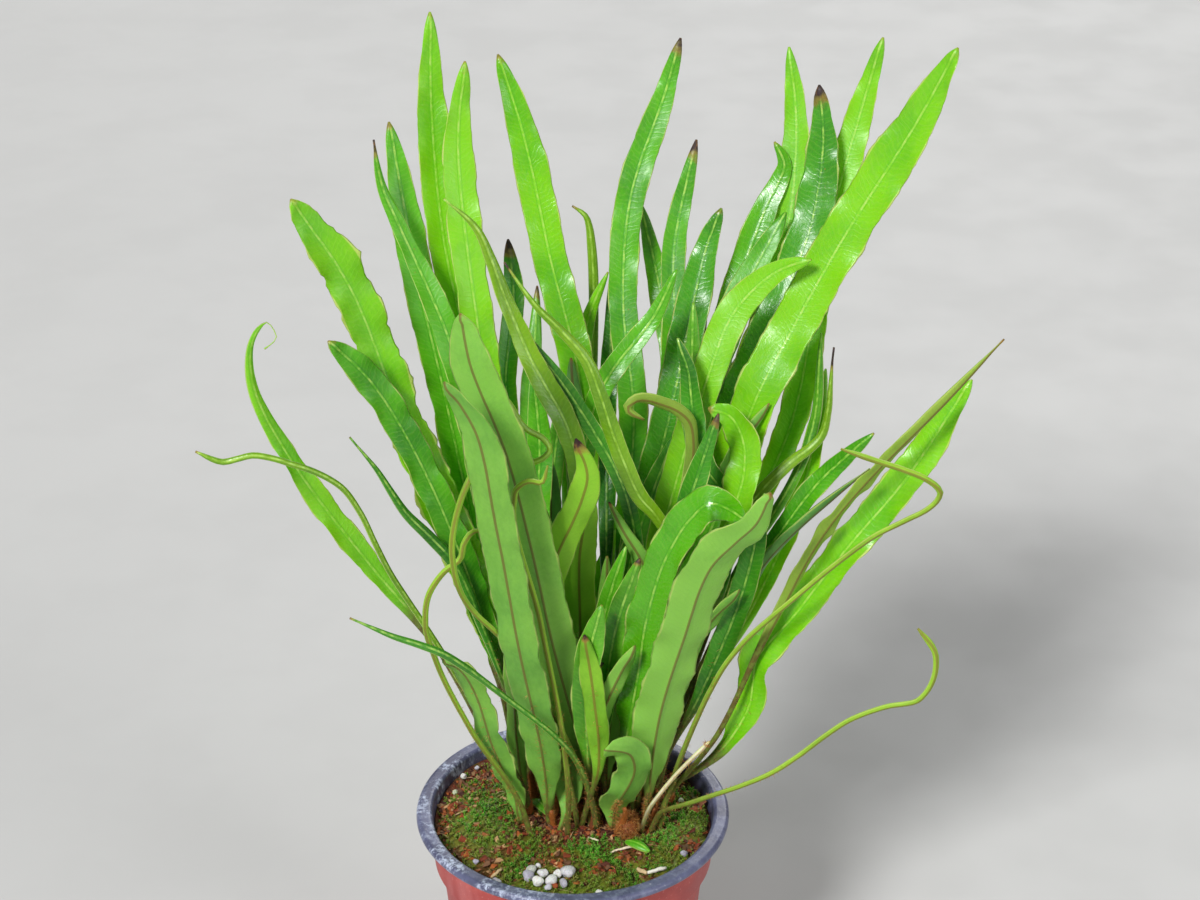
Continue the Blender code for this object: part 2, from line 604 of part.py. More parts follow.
def lean(push, points, ring, step):
    """Adds a soft push round one ring, unless a stronger one is already there."""
    _, travelled = arc_share(points)
    middle = (travelled[ring] + travelled[ring + 1]) / 2
    bump = step * np.exp(-((travelled - middle) / COMB_REACH) ** 2)
    stronger = np.abs(bump) > np.abs(push)
    push[stronger] = bump[stronger]


def make_fronds(parent):
    """Every frond and sprout, parted from its neighbours and placed by its foot."""
    fronds = FRONDS + SPROUTS
    last = len(fronds) - 1
    courses = []
    for order, frond in enumerate(fronds):
        foot_y = FEET_BACK + (FEET_FRONT - FEET_BACK) * order / last
        courses.append(midrib(frond, foot_y))
    comb(fronds, courses)
    for frond, points in zip(fronds, courses):
        name = frond.name if frond in SPROUTS else f"frond_{frond.name}"
        foot = points[0].copy()
        bm = bmesh.new()
        rings = []
        for ring in frond_corners(frond, points) - foot:
            rings.append([bm.verts.new(corner) for corner in ring])
        skin_rings(bm, rings)
        add_object(name, bm, make_material(name, frond.tone, 0.45), parent, foot, 60.0)


def main():
    clear_scene()
    whole = add_empty("potted_fern")
    plant = add_empty("plant", whole)
    make_pot(whole)
    make_soil(whole)
    make_moss("moss_left", 125, 235, whole)
    make_moss("moss_front", 240, 300, whole)
    make_moss("moss_right", 305, 385, whole)
    make_rhizome(plant)
    make_fronds(plant)


main()
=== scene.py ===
"""The looks of the potted fern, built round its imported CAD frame.

Each CAD frond gives the course, the width and the facing of one detailed frond. The pot, the
potting mix, the moss and the rhizome are rebuilt at their CAD sizes with real surface detail.
Lengths are in metres; values named ..._MM are in millimetres.
"""

import json
import math
from collections import namedtuple

import bmesh
import bpy
import numpy as np
from mathutils import Euler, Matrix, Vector, noise
from mathutils.bvhtree import BVHTree


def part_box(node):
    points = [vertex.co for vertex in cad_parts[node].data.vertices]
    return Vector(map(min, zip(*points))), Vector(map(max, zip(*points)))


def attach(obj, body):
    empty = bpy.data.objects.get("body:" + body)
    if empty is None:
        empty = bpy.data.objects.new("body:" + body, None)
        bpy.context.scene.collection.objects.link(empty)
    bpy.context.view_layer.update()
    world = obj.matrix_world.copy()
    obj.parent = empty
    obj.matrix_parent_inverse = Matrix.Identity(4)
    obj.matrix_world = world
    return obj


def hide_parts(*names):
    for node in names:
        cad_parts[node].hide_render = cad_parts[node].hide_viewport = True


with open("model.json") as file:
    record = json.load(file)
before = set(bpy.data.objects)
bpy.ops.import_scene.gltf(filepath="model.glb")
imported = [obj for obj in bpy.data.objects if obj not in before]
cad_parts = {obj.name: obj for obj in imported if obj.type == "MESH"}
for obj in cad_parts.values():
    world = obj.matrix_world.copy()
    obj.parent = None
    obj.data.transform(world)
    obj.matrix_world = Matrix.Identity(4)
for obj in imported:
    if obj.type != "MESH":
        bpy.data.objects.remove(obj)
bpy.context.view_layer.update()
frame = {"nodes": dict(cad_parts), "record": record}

MM = 0.001
SEED = 20

# ---------------------------------------------------------------- colours


def srgb(red, green, blue):
    """A linear colour from the usual 0 to 255 values."""
    values = []
    for value in (red, green, blue):
        share = value / 255
        values.append(share / 12.92 if share <= 0.04045 else ((share + 0.055) / 1.055) ** 2.4)
    return (*values, 1.0)


Tone = namedtuple("Tone", "upper upper_dark under under_dark rib")

TONES = {
    "leaf_lime": Tone(srgb(122, 196, 12), srgb(84, 164, 8), srgb(136, 192, 48),
                      srgb(104, 158, 36), srgb(116, 104, 36)),
    "leaf_mid": Tone(srgb(86, 168, 16), srgb(46, 124, 10), srgb(118, 178, 62),
                     srgb(84, 140, 44), srgb(104, 88, 40)),
    "leaf_deep": Tone(srgb(66, 144, 24), srgb(34, 100, 16), srgb(98, 150, 72),
                      srgb(66, 114, 48), srgb(92, 80, 44)),
    "leaf_grey": Tone(srgb(92, 164, 28), srgb(56, 122, 18), srgb(128, 184, 72),
                      srgb(98, 152, 60), srgb(106, 92, 44)),
    "leaf_olive": Tone(srgb(120, 164, 22), srgb(86, 132, 18), srgb(132, 162, 56),
                       srgb(104, 132, 46), srgb(112, 96, 42)),
    "leaf_straw": Tone(srgb(232, 228, 200), srgb(204, 192, 150), srgb(232, 228, 200),
                       srgb(204, 192, 150), srgb(190, 170, 120)),
    "sprout": Tone(srgb(148, 190, 44), srgb(116, 158, 32), srgb(144, 184, 50),
                   srgb(112, 150, 38), srgb(122, 118, 44)),
}

STIPE = srgb(100, 116, 40)
STIPE_BROWN = srgb(92, 80, 36)
RIB_PALE = srgb(172, 208, 96)
MARGIN_PALE = srgb(190, 206, 110)
DRY_TAN = srgb(148, 104, 52)
DRY_BROWN = srgb(50, 32, 30)

VEIN_SPACING_MM = 2.2

# ---------------------------------------------------------------- node helpers


class Shading:
    """Builds one node material with short calls."""

    def __init__(self, name):
        self.material = bpy.data.materials.new(name)
        self.material.use_nodes = True
        self.nodes = self.material.node_tree.nodes
        self.links = self.material.node_tree.links
        self.shader = self.nodes["Principled BSDF"]

    def put(self, socket, value):
        """Sets a socket to a constant, or links it to another node's output."""
        if isinstance(value, bpy.types.NodeSocket):
            self.links.new(value, socket)
        else:
            socket.default_value = value

    def node(self, kind, inputs, output=0, **settings):
        """Adds a node with its inputs and settings, and gives one of its outputs."""
        node = self.nodes.new(kind)
        for name, value in settings.items():
            setattr(node, name, value)
        for key, value in inputs.items():
            self.put(node.inputs[key], value)
        return node.outputs[output]

    def parts(self, vector):
        """A vector and its three parts."""
        split = self.nodes.new("ShaderNodeSeparateXYZ")
        self.put(split.inputs[0], vector)
        return vector, *split.outputs

    def attribute(self, name):
        """A named vector attribute and its parts."""
        return self.parts(self.node("ShaderNodeAttribute", {}, "Vector", attribute_name=name))

    def position(self):
        """The place of a point in the piece's own metres, and its parts."""
        return self.parts(self.node("ShaderNodeTexCoord", {}, "Object"))

    def math(self, operation, first, second=0.0, clamp=False):
        return self.node("ShaderNodeMath", {0: first, 1: second}, operation=operation, use_clamp=clamp)

    def times(self, first, second):
        return self.math("MULTIPLY", first, second)

    def plus(self, first, second, clamp=False):
        return self.math("ADD", first, second, clamp)

    def ramp(self, value, low, high, start=0.0, stop=1.0):
        """Runs gently from start to stop as value goes from low to high."""
        inputs = {"Value": value, "From Min": low, "From Max": high, "To Min": start, "To Max": stop}
        return self.node("ShaderNodeMapRange", inputs, "Result", interpolation_type="SMOOTHSTEP")

    def noise(self, vector, scale, detail=3.0, roughness=0.55):
        inputs = {"Vector": vector, "Scale": scale, "Detail": detail, "Roughness": roughness}
        return self.node("ShaderNodeTexNoise", inputs, "Fac")

    def cells(self, vector, scale):
        return self.node("ShaderNodeTexVoronoi", {"Vector": vector, "Scale": scale}, "Distance")

    def stretch(self, vector, scale):
        return self.node("ShaderNodeVectorMath", {0: vector, 1: scale}, operation="MULTIPLY")

    def mix(self, share, first, second, blend="MIX"):
        """A colour between two others."""
        return self.node("ShaderNodeMix", {0: share, 6: first, 7: second}, 2, data_type="RGBA",
                         blend_type=blend)

    def bump(self, height, strength, distance):
        inputs = {"Strength": strength, "Distance": distance, "Height": height}
        self.put(self.shader.inputs["Normal"], self.node("ShaderNodeBump", inputs))

    def finish(self, colour, roughness, specular=0.5, subsurface=0.0, radius=0.002):
        self.put(self.shader.inputs["Base Color"], colour)
        self.put(self.shader.inputs["Roughness"], roughness)
        self.shader.inputs["Specular IOR Level"].default_value = specular
        if subsurface:
            self.shader.inputs["Subsurface Weight"].default_value = subsurface
            self.shader.inputs["Subsurface Radius"].default_value = (0.4, 1.0, 0.1)
            self.shader.inputs["Subsurface Scale"].default_value = radius
        return self.material


# ---------------------------------------------------------------- materials


def vein_lines(shade, place, across_mm, along_mm, spacing):
    """Slanting side veins, from the midrib out and up to the margin, none quite even."""
    slant = shade.times(shade.math("ABSOLUTE", across_mm), -0.6)
    bend = shade.times(shade.noise(place, 0.16, 2.0), 7.0)
    run = shade.plus(shade.plus(along_mm, slant), bend)
    wave = shade.math("SINE", shade.times(run, 2 * math.pi / spacing))
    return shade.ramp(wave, 0.2, 1.0)


def blade_colour(shade, tone, upper, place, broad, fine, veins, tint):
    """The green of a blade: patchy, with faint veins."""
    light, dark = (tone.upper, tone.upper_dark) if upper else (tone.under, tone.under_dark)
    patch = shade.plus(shade.ramp(broad, 0.35, 0.68, -0.25, 0.45), tint)
    mottle = shade.ramp(fine, 0.3, 0.7, -0.14, 0.14)
    colour = shade.mix(shade.plus(patch, mottle, True), light, dark)
    pores = shade.ramp(shade.noise(place, 2.6, 2.0), 0.35, 0.7, 0.0, 0.16)
    colour = shade.mix(pores, colour, dark)
    return shade.mix(shade.times(veins, 0.07), colour, RIB_PALE if upper else dark)


def rib_and_margin(shade, colour, tone, upper, off_rib, off_middle, fine):
    """The midrib, painted shade in the furrow beside it and the pale margin of a blade."""
    rib_edge = 0.24 if upper else 0.40
    rib = shade.ramp(off_rib, rib_edge, rib_edge + 0.2, 1.0, 0.0)
    rib_colour = shade.mix(shade.ramp(fine, 0.35, 0.65), RIB_PALE, tone.upper) if upper else tone.rib
    colour = shade.mix(shade.times(rib, 0.8), colour, rib_colour)
    if upper:
        # Painted shade: the upper side is darker in the furrow beside the midrib
        furrow = shade.times(shade.ramp(off_rib, 0.4, 0.62), shade.ramp(off_rib, 1.0, 0.7))
        colour = shade.mix(shade.times(furrow, 0.4), colour, tone.upper_dark)
    margin = shade.ramp(off_middle, 0.93, 0.985, 0.0, 0.7 if upper else 0.45)
    return shade.mix(margin, colour, MARGIN_PALE)


def dry_tip(shade, colour, place, along, dry, fine):
    """The tanned and withered tip of a blade, and how withered each point is."""
    edge = shade.plus(along, shade.times(shade.noise(place, 0.35, 3.0), 0.03))
    start = shade.math("SUBTRACT", 1.024, dry)
    past = shade.math("SUBTRACT", edge, start)
    tan = shade.ramp(past, -0.01, 0.004)
    withered = shade.ramp(past, 0.0, 0.014)
    colour = shade.mix(shade.times(tan, 0.7), colour, DRY_TAN)
    crisp = shade.mix(shade.ramp(fine, 0.2, 0.52), DRY_TAN, DRY_BROWN)
    return shade.mix(withered, colour, crisp), withered


def leaf_material(slot, upper):
    """The upper side or the underside of the blades of one tone, down to their stipes."""
    tone = TONES[slot]
    shade = Shading(f"{slot}_{'upper' if upper else 'under'}")
    _, across, along, stipe = shade.attribute("leaf")
    place, across_mm, along_mm, _ = shade.attribute("place")
    _, dry, tint, gloss = shade.attribute("wear")
    broad = shade.noise(place, 0.035, 2.0)
    fine = shade.noise(shade.stretch(place, (1.0, 0.45, 1.0)), 0.7, 4.0)
    veins = vein_lines(shade, place, across_mm, along_mm, VEIN_SPACING_MM)
    colour = blade_colour(shade, tone, upper, place, broad, fine, veins, tint)
    colour = rib_and_margin(shade, colour, tone, upper, shade.math("ABSOLUTE", across_mm),
                            shade.math("ABSOLUTE", across), fine)
    bark = shade.mix(shade.ramp(fine, 0.38, 0.62), STIPE, STIPE_BROWN)
    colour = shade.mix(stipe, colour, bark)
    colour, withered = dry_tip(shade, colour, place, along, dry, fine)
    specks = shade.ramp(shade.cells(place, 0.16), 0.03, 0.06, 0.6, 0.0)
    colour = shade.mix(shade.times(specks, shade.ramp(broad, 0.52, 0.6)), colour, DRY_TAN)

    height = shade.plus(shade.times(veins, 0.2), fine)
    shade.bump(height, 0.5 if upper else 0.3, 0.00025)
    if upper:
        rough = shade.plus(shade.ramp(fine, 0.3, 0.7, 0.0, 0.1), gloss)
    else:
        rough = shade.ramp(fine, 0.3, 0.7, 0.48, 0.62)
    dull = shade.times(shade.plus(withered, stipe, True), 0.25)
    return shade.finish(colour, shade.plus(rough, dull, True), 0.5 if upper else 0.25, 0.2, 0.0025)


def plain_noise_material(name, light, dark, scale, roughness, bump=0.5, distance=0.0004,
                         stretch=(1, 1, 1)):
    """Two tones broken up by noise at a scale per metre."""
    shade = Shading(name)
    place, *_ = shade.position()
    if stretch != (1, 1, 1):
        place = shade.stretch(place, stretch)
    coarse = shade.noise(place, scale, 4.0)
    fine = shade.noise(place, scale * 5, 3.0)
    share = shade.plus(shade.ramp(coarse, 0.35, 0.65, 0.0, 0.8),
                       shade.ramp(fine, 0.4, 0.65, -0.15, 0.3), True)
    colour = shade.mix(share, light, dark)
    shade.bump(shade.plus(coarse, shade.times(fine, 0.4)), bump, distance)
    return shade.finish(colour, shade.ramp(fine, 0.3, 0.7, roughness - 0.08, roughness + 0.08), 0.4)


# ---------------------------------------------------------------- fronds from the frame

ROW_SPACING = 2.0 * MM

Spine = namedtuple("Spine", "centre side up half along")


def welded(mesh):
    """The separate places of a mesh's corners, and each face as numbers of those places."""
    points = np.array([vertex.co[:] for vertex in mesh.vertices])
    keys, index = np.unique(np.round(points, 6), axis=0, return_inverse=True)
    index = index.reshape(-1)
    faces = [[int(index[vertex]) for vertex in polygon.vertices] for polygon in mesh.polygons]
    return keys, faces


def welded_bm(node):
    """A bmesh of a CAD node's own body, its corners joined."""
    points, faces = welded(frame["nodes"][node].data)
    bm = bmesh.new()
    verts = [bm.verts.new(point) for point in points]
    for face in faces:
        bm.faces.new([verts[number] for number in face])
    bmesh.ops.recalc_face_normals(bm, faces=bm.faces)
    return bm


def taken(bm):
    """The points and faces of a bmesh, which is freed."""
    bm.verts.index_update()
    points = np.array([vert.co[:] for vert in bm.verts])
    faces = [[vert.index for vert in face.verts] for face in bm.faces]
    bm.free()
    return points, faces


def bridge(bm, ring, other):
    """Joins two rings of corners with faces; a corner that stands in twice is used once."""
    faces = []
    for step in range(len(ring)):
        after = (step + 1) % len(ring)
        corners = dict.fromkeys((ring[step], ring[after], other[after], other[step]))
        faces.append(bm.faces.new(list(corners)))
    return faces


def read_rings(node):
    """The rings of a CAD frond from foot to tip: an array of rings, four corners, three values."""
    points, faces = welded(frame["nodes"][node].data)
    linked = {number: set() for number in range(len(points))}
    for face in faces:
        for corner in face:
            linked[corner].update(face)
    ring = [int(number) for number in np.argsort(points[:, 2])[:4]]
    seen = set(ring)
    rings = []
    while ring:
        rings.append(points[ring])
        ring = sorted({other for corner in ring for other in linked[corner]} - seen)
        seen.update(ring)
    return in_order(rings)


def in_order(rings):
    """Turns each ring so that its corners run in one order and keep to the same four lines."""
    ordered = []
    centres = np.array([ring.mean(axis=0) for ring in rings])
    courses = np.gradient(centres, axis=0)
    for ring, centre, course in zip(rings, centres, courses):
        spread = ring - centre
        first = np.cross(course, (0.31, 0.77, 0.55))
        second = np.cross(course, first)
        turn = np.arctan2(spread @ second / np.linalg.norm(second),
                          spread @ first / np.linalg.norm(first))
        ring = ring[np.argsort(turn)]
        if ordered:
            before = ordered[-1] - ordered[-1].mean(axis=0)
            fits = [np.sum(before * (np.roll(ring, shift, axis=0) - centre)) for shift in range(4)]
            ring = np.roll(ring, int(np.argmax(fits)), axis=0)
        ordered.append(ring)
    rings = np.array(ordered)
    # The margins are the pair of opposite corners that lie furthest apart
    spans = np.linalg.norm(rings[:, :2] - rings[:, 2:], axis=2)
    widest = int(np.argmax(spans.max(axis=1)))
    if spans[widest, 1] > spans[widest, 0]:
        rings = np.roll(rings, -1, axis=1)
    # The rib of the underside stands further from the margins' middle than the upper one
    middle = (rings[:, 0] + rings[:, 2]) / 2
    heights = np.linalg.norm(rings[:, 1::2] - middle[:, None], axis=2).sum(axis=0)
    if heights[0] > heights[1]:
        rings = np.roll(rings, 2, axis=1)
    return rings


def unit(vectors):
    return vectors / np.linalg.norm(vectors, axis=-1, keepdims=True)


def smooth_step(values):
    values = np.clip(values, 0.0, 1.0)
    return values * values * (3 - 2 * values)


def through(places, values, wanted):
    """Smooth values between known ones, along a course."""
    slopes = np.gradient(values, places, axis=0)
    low = np.clip(np.searchsorted(places, wanted, side="right") - 1, 0, len(places) - 2)
    gap = (places[low + 1] - places[low])[:, None]
    s = ((wanted - places[low])[:, None]) / gap
    return ((2 * s ** 3 - 3 * s ** 2 + 1) * values[low]
            + (s ** 3 - 2 * s ** 2 + s) * gap * slopes[low]
            + (3 * s ** 2 - 2 * s ** 3) * values[low + 1]
            + (s ** 3 - s ** 2) * gap * slopes[low + 1])


def travel(points):
    """How far along a course each of its points lies."""
    return np.concatenate(([0.0], np.cumsum(np.linalg.norm(np.diff(points, axis=0), axis=1))))


def rows_along(travelled):
    """Places along a course for the rows of a frond."""
    return np.linspace(0.0, travelled[-1], max(12, round(travelled[-1] / ROW_SPACING)))


def facing_spine(centre, facing, half, wanted):
    """A spine whose upper side faces a way as nearly as its course allows."""
    along = unit(np.gradient(centre, axis=0))
    up = unit(facing - np.sum(facing * along, axis=1, keepdims=True) * along)
    return Spine(centre, np.cross(along, up), up, half, wanted)


def read_spine(node):
    """The finely spaced course of a CAD frond, with its sides, its upper side and its width."""
    rings = read_rings(node)
    centre = (rings[:, 0] + rings[:, 2]) / 2
    half = np.linalg.norm(rings[:, 2] - rings[:, 0], axis=1, keepdims=True) / 2
    up = unit(rings[:, 1] - rings[:, 3])
    travelled = travel(centre)
    wanted = rows_along(travelled)
    widths = np.maximum(through(travelled, half, wanted)[:, 0], 0.0002)
    # Past the last ring but one the tip is rounded off
    left = (travelled[-1] - wanted) / (travelled[-1] - travelled[-2])
    rounded = np.maximum(half[-2, 0] * np.clip(left, 0.0, 1.0) ** 0.6, 0.4 * MM)
    widths = np.where(left < 1, rounded, widths)
    return facing_spine(through(travelled, centre, wanted), through(travelled, up, wanted), widths, wanted)


# ---------------------------------------------------------------- frond meshes

INNER_MM = (0.34, 0.85)
OUTER_SHARES = (0.2, 0.45, 0.7, 0.9, 1.0)

Style = namedtuple("Style", "wave length keel dry tint gloss cren")


def wavering(along, rng, wavelength):
    """A smooth random wave of about one, with its peaks a wavelength apart."""
    total = np.zeros_like(along)
    for share in (1.0, 0.62, 1.7):
        phase = rng.uniform(0, 2 * math.pi)
        stretch = wavelength * share * rng.uniform(0.85, 1.15)
        total += np.sin(2 * math.pi * along / stretch + phase) * (1.0 if share == 1.0 else 0.55)
    return total / 1.6


def stipe_share(spine):
    """How much of a stipe each row is: all of it from the foot to where the blade first widens."""
    if spine.half.max() < 1.9 * MM:
        return 1 - smooth_step(spine.along / spine.along[-1] / 0.45)
    first = int(np.argmax(spine.half > 0.55 * spine.half.max()))
    return 1 - smooth_step((spine.along - spine.along[first]) / (16 * MM) + 1)


def frond_grid(spine, style, rng):
    """Places of the upper and lower skins of a frond, and the attributes of their points."""
    rows = len(spine.along)
    half = spine.half[:, None]
    bladed = smooth_step((half - 1.35 * MM) / (2.4 * MM))
    edges = []
    ripples = []
    for _ in ("left", "right"):
        crenate = 0.5 * wavering(spine.along, rng, 7 * MM) + wavering(spine.along, rng, 26 * MM)
        edges.append(1 + style.cren * bladed * crenate[:, None])
        ripples.append(wavering(spine.along, rng, style.length)[:, None])
    fit = np.minimum(1.0, half / (1.7 * MM))
    inner = [value * MM * fit for value in INNER_MM]
    offsets = [np.zeros((rows, 1)), *inner]
    offsets += [inner[1] + (half - inner[1]) * share for share in OUTER_SHARES]
    offsets = np.hstack(offsets)
    spread = np.hstack((-offsets[:, :0:-1] * edges[0], offsets[:, :1], offsets[:, 1:] * edges[1]))
    ripple = np.hstack((np.repeat(ripples[0], offsets.shape[1] - 1, axis=1), np.zeros((rows, 1)),
                        np.repeat(ripples[1], offsets.shape[1] - 1, axis=1)))
    share = np.clip(spread / half, -1.25, 1.25)
    out = np.abs(share)
    near = np.abs(spread) / MM
    lift = style.keel * half * out ** 1.3 + style.wave * MM * ripple * out ** 1.8 * bladed
    thick = (0.14 - 0.08 * np.minimum(out, 1.0) ** 2) * MM
    top_rib = 0.10 * MM * np.exp(-(near / 0.3) ** 2) - 0.05 * MM * np.exp(-((near - 0.85) / 0.4) ** 2)
    taper = np.clip(1.25 - spine.along[:, None] / spine.along[-1], 0.15, 1.0)
    low_rib = 0.62 * MM * taper * np.exp(-(near / 0.55) ** 2)
    round_share = np.sqrt(np.clip(1 - share ** 2, 0.0, 1.0))
    top = bladed * (lift + thick + top_rib) + (1 - bladed) * 0.72 * half * round_share
    low = bladed * (lift - thick - low_rib) - (1 - bladed) * 0.9 * half * round_share
    centre = spine.centre[:, None]
    side = spine.side[:, None] * spread[..., None]
    upper = centre + side + spine.up[:, None] * top[..., None]
    lower = centre + side + spine.up[:, None] * low[..., None]
    along = np.repeat(spine.along[:, None] / spine.along[-1], spread.shape[1], axis=1)
    stipe = np.repeat(stipe_share(spine)[:, None], spread.shape[1], axis=1)
    leaf = np.stack((share, along, stipe), axis=-1)
    seed = rng.uniform(0, 400)
    place = np.stack((spread / MM, np.repeat(spine.along[:, None] / MM, spread.shape[1], axis=1),
                      np.full(spread.shape, seed)), axis=-1)
    return upper, lower, leaf, place


def frond_mesh(name, spine, style, rng):
    """One closed frond with an upper skin, an underside and shared margins."""
    upper, lower, leaf, place = frond_grid(spine, style, rng)
    rows, columns = upper.shape[:2]
    inner = slice(1, columns - 1)
    points = np.concatenate((upper.reshape(-1, 3), lower[:, inner].reshape(-1, 3)))
    leaf = np.concatenate((leaf.reshape(-1, 3), leaf[:, inner].reshape(-1, 3)))
    place = np.concatenate((place.reshape(-1, 3), place[:, inner].reshape(-1, 3)))
    top = np.arange(rows * columns).reshape(rows, columns)
    low = top.copy()
    low[:, inner] = rows * columns + np.arange(rows * (columns - 2)).reshape(rows, columns - 2)
    top_faces = np.stack((top[:-1, :-1], top[:-1, 1:], top[1:, 1:], top[1:, :-1]), axis=-1)
    low_faces = np.stack((low[:-1, :-1], low[1:, :-1], low[1:, 1:], low[:-1, 1:]), axis=-1)
    faces = top_faces.reshape(-1, 4).tolist() + low_faces.reshape(-1, 4).tolist()
    faces.append(top[0, ::-1].tolist() + low[0, inner].tolist())
    faces.append(top[-1].tolist() + low[-1, inner][::-1].tolist())
    mesh = bpy.data.meshes.new(name)
    mesh.from_pydata(points.tolist(), [], faces)
    sides = np.zeros(len(faces), np.int32)
    sides[(rows - 1) * (columns - 1):] = 1
    mesh.polygons.foreach_set("material_index", sides)
    add_vectors(mesh, "leaf", leaf)
    add_vectors(mesh, "place", place)
    wear = np.tile((style.dry, style.tint, style.gloss), (len(points), 1))
    add_vectors(mesh, "wear", wear)
    mesh.shade_smooth()
    return mesh


def add_vectors(mesh, name, values):
    """A vector for each point of a mesh, for its material to read."""
    attribute = mesh.attributes.new(name, "FLOAT_VECTOR", "POINT")
    attribute.data.foreach_set("vector", np.ascontiguousarray(values, np.float32).reshape(-1))


def add_piece(name, mesh, materials, replaced=()):
    """Puts a mesh in the scene as a piece of the plant or its pot."""
    for material in materials:
        mesh.materials.append(material)
    piece = bpy.data.objects.new(name, mesh)
    bpy.context.scene.collection.objects.link(piece)
    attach(piece, "root")
    if replaced:
        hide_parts(*replaced)
    return piece


# What sets single fronds apart: wave height in mm, share of the length that is dry at the tip,
# how dark, how rough. How dark is partly each frond's own tone and partly painted shade and painted light
FROND_NOTES = {
    # Darker partly with painted shade, as this frond stands partly in shade
    "frond_left_wavy": {"wave": 1.872, "dry": 0.01, "tint": 0.2, "cren": 0.12},
    "frond_left_second": {"wave": 1.404, "dry": 0.012, "tint": 0.4},
    "frond_left_hook": {"dry": 0.03, "tint": -0.3},
    "frond_left_back": {"tint": -0.3},
    "frond_tall_left": {"dry": 0.008, "tint": 0.1, "gloss": 0.34},
    "frond_left_lime": {"dry": 0.012, "tint": -0.2, "gloss": 0.36},
    "frond_middle_tall": {"dry": 0.012, "wave": 1.092, "tint": 0.45, "gloss": 0.25},
    "frond_short_dark": {"dry": 0.035, "wave": 0.936},
    "frond_tall_middle": {"dry": 0.025, "wave": 1.092, "gloss": 0.34},
    "frond_right_of_middle": {"dry": 0.035},
    "frond_broad_middle": {"gloss": 0.23, "wave": 1.248, "tint": 0.0},
    "frond_hooked_gloss": {"gloss": 0.22, "dry": 0.01, "wave": 0.936},
    "frond_broad_right": {"gloss": 0.24, "dry": 0.03, "wave": 1.092, "tint": 0.0},
    "frond_right_lime": {"dry": 0.006, "tint": 0.2},
    "frond_right_back": {"dry": 0.008, "tint": 0.1, "wave": 1.014},
    "frond_long_right": {"dry": 0.008, "tint": 0.15, "wave": 1.17, "gloss": 0.27},
    "frond_arch_lime": {"dry": 0.006, "tint": -0.1},
    "frond_olive_bent": {"dry": 0.05},
    "frond_olive_second": {"dry": 0.03},
    "frond_tan_leaf": {"dry": 0.038, "wave": 1.014, "tint": -0.2},
    # Painted light: lighter, though this frond stands in shade
    "frond_middle_under": {"tint": -0.6},
    "frond_low_under": {"tint": -0.4},
    "frond_short_under": {"tint": -0.4},
    "frond_long_lime": {"wave": 1.716, "cren": 0.08, "tint": 0.3},
    "frond_gloss_front": {"gloss": 0.22, "wave": 1.404, "tint": -0.2},
    "frond_front_right": {"dry": 0.012, "wave": 1.404, "cren": 0.06, "tint": -0.3},
    "frond_front_under": {"dry": 0.006, "wave": 0.78, "cren": 0.05, "tint": -0.1},
    "frond_front_grey": {"wave": 0.936, "cren": 0.06, "tint": 0.5},
    "frond_low_left_under": {"cren": 0.14, "tint": 0.45},
    "frond_low_back_right": {"wave": 1.716},
    "frond_folded_small": {"wave": 1.56, "cren": 0.08},
    "frond_crinkled": {"wave": 1.872, "cren": 0.1},
    "frond_wavy_twist": {"wave": 1.56},
    "frond_left_curl": {"wave": 1.092, "cren": 0.07},
}


def frond_style(name, rng):
    """The chance part of a frond's look, with its own notes on top."""
    values = {
        "wave": rng.uniform(0.6, 1.1),
        "length": rng.uniform(20, 32) * MM,
        "keel": rng.uniform(0.08, 0.26),
        "dry": 0.0 if rng.random() < 0.5 else rng.uniform(0.003, 0.015),
        "tint": rng.uniform(-0.05, 0.4),
        "gloss": rng.uniform(0.26, 0.38),
        "cren": rng.uniform(0.035, 0.07),
    }
    values.update(FROND_NOTES.get(name, {}))
    return Style(**values)


slots = {part["node"]: part["material_slot"] for part in frame["record"]["subparts"]}
leaf_materials = {}
for slot in TONES:
    leaf_materials[slot] = [leaf_material(slot, True), leaf_material(slot, False)]


def frond_nodes():
    """The CAD nodes that are fronds, sprouts or the cut stub."""
    return sorted(node for node, slot in slots.items() if slot in TONES)


spines = {}
for number, node in enumerate(frond_nodes()):
    rng = np.random.default_rng(SEED + number)
    spines[node] = read_spine(node)
    mesh = frond_mesh(node + "_leaf", spines[node], frond_style(node, rng), rng)
    add_piece(node + "_leaf", mesh, leaf_materials[slots[node]], (node,))

# ---------------------------------------------------------------- meshes of many small bodies


class Heap:
    """Gathers small closed bodies into one mesh, each point with a tint of three values."""

    def __init__(self):
        self.points = []
        self.faces = []
        self.tints = []
        self.count = 0

    def add(self, points, faces, tint):
        """Adds a body, or many at once; a single tint counts for all of its points."""
        points = np.asarray(points, float).reshape(-1, 3)
        self.points.append(points)
        self.tints.append(np.broadcast_to(np.asarray(tint, float), points.shape))
        self.faces.extend([number + self.count for number in face] for face in faces)
        self.count += len(points)

    def piece(self, name, material, slot, replaced=(), smooth=True):
        """Makes the gathered bodies into one piece."""
        mesh = bpy.data.meshes.new(name)
        mesh.from_pydata(np.concatenate(self.points).tolist(), [], self.faces)
        add_vectors(mesh, "tint", np.concatenate(self.tints))
        if smooth:
            mesh.shade_smooth()
        add_piece(name, mesh, [material], replaced)


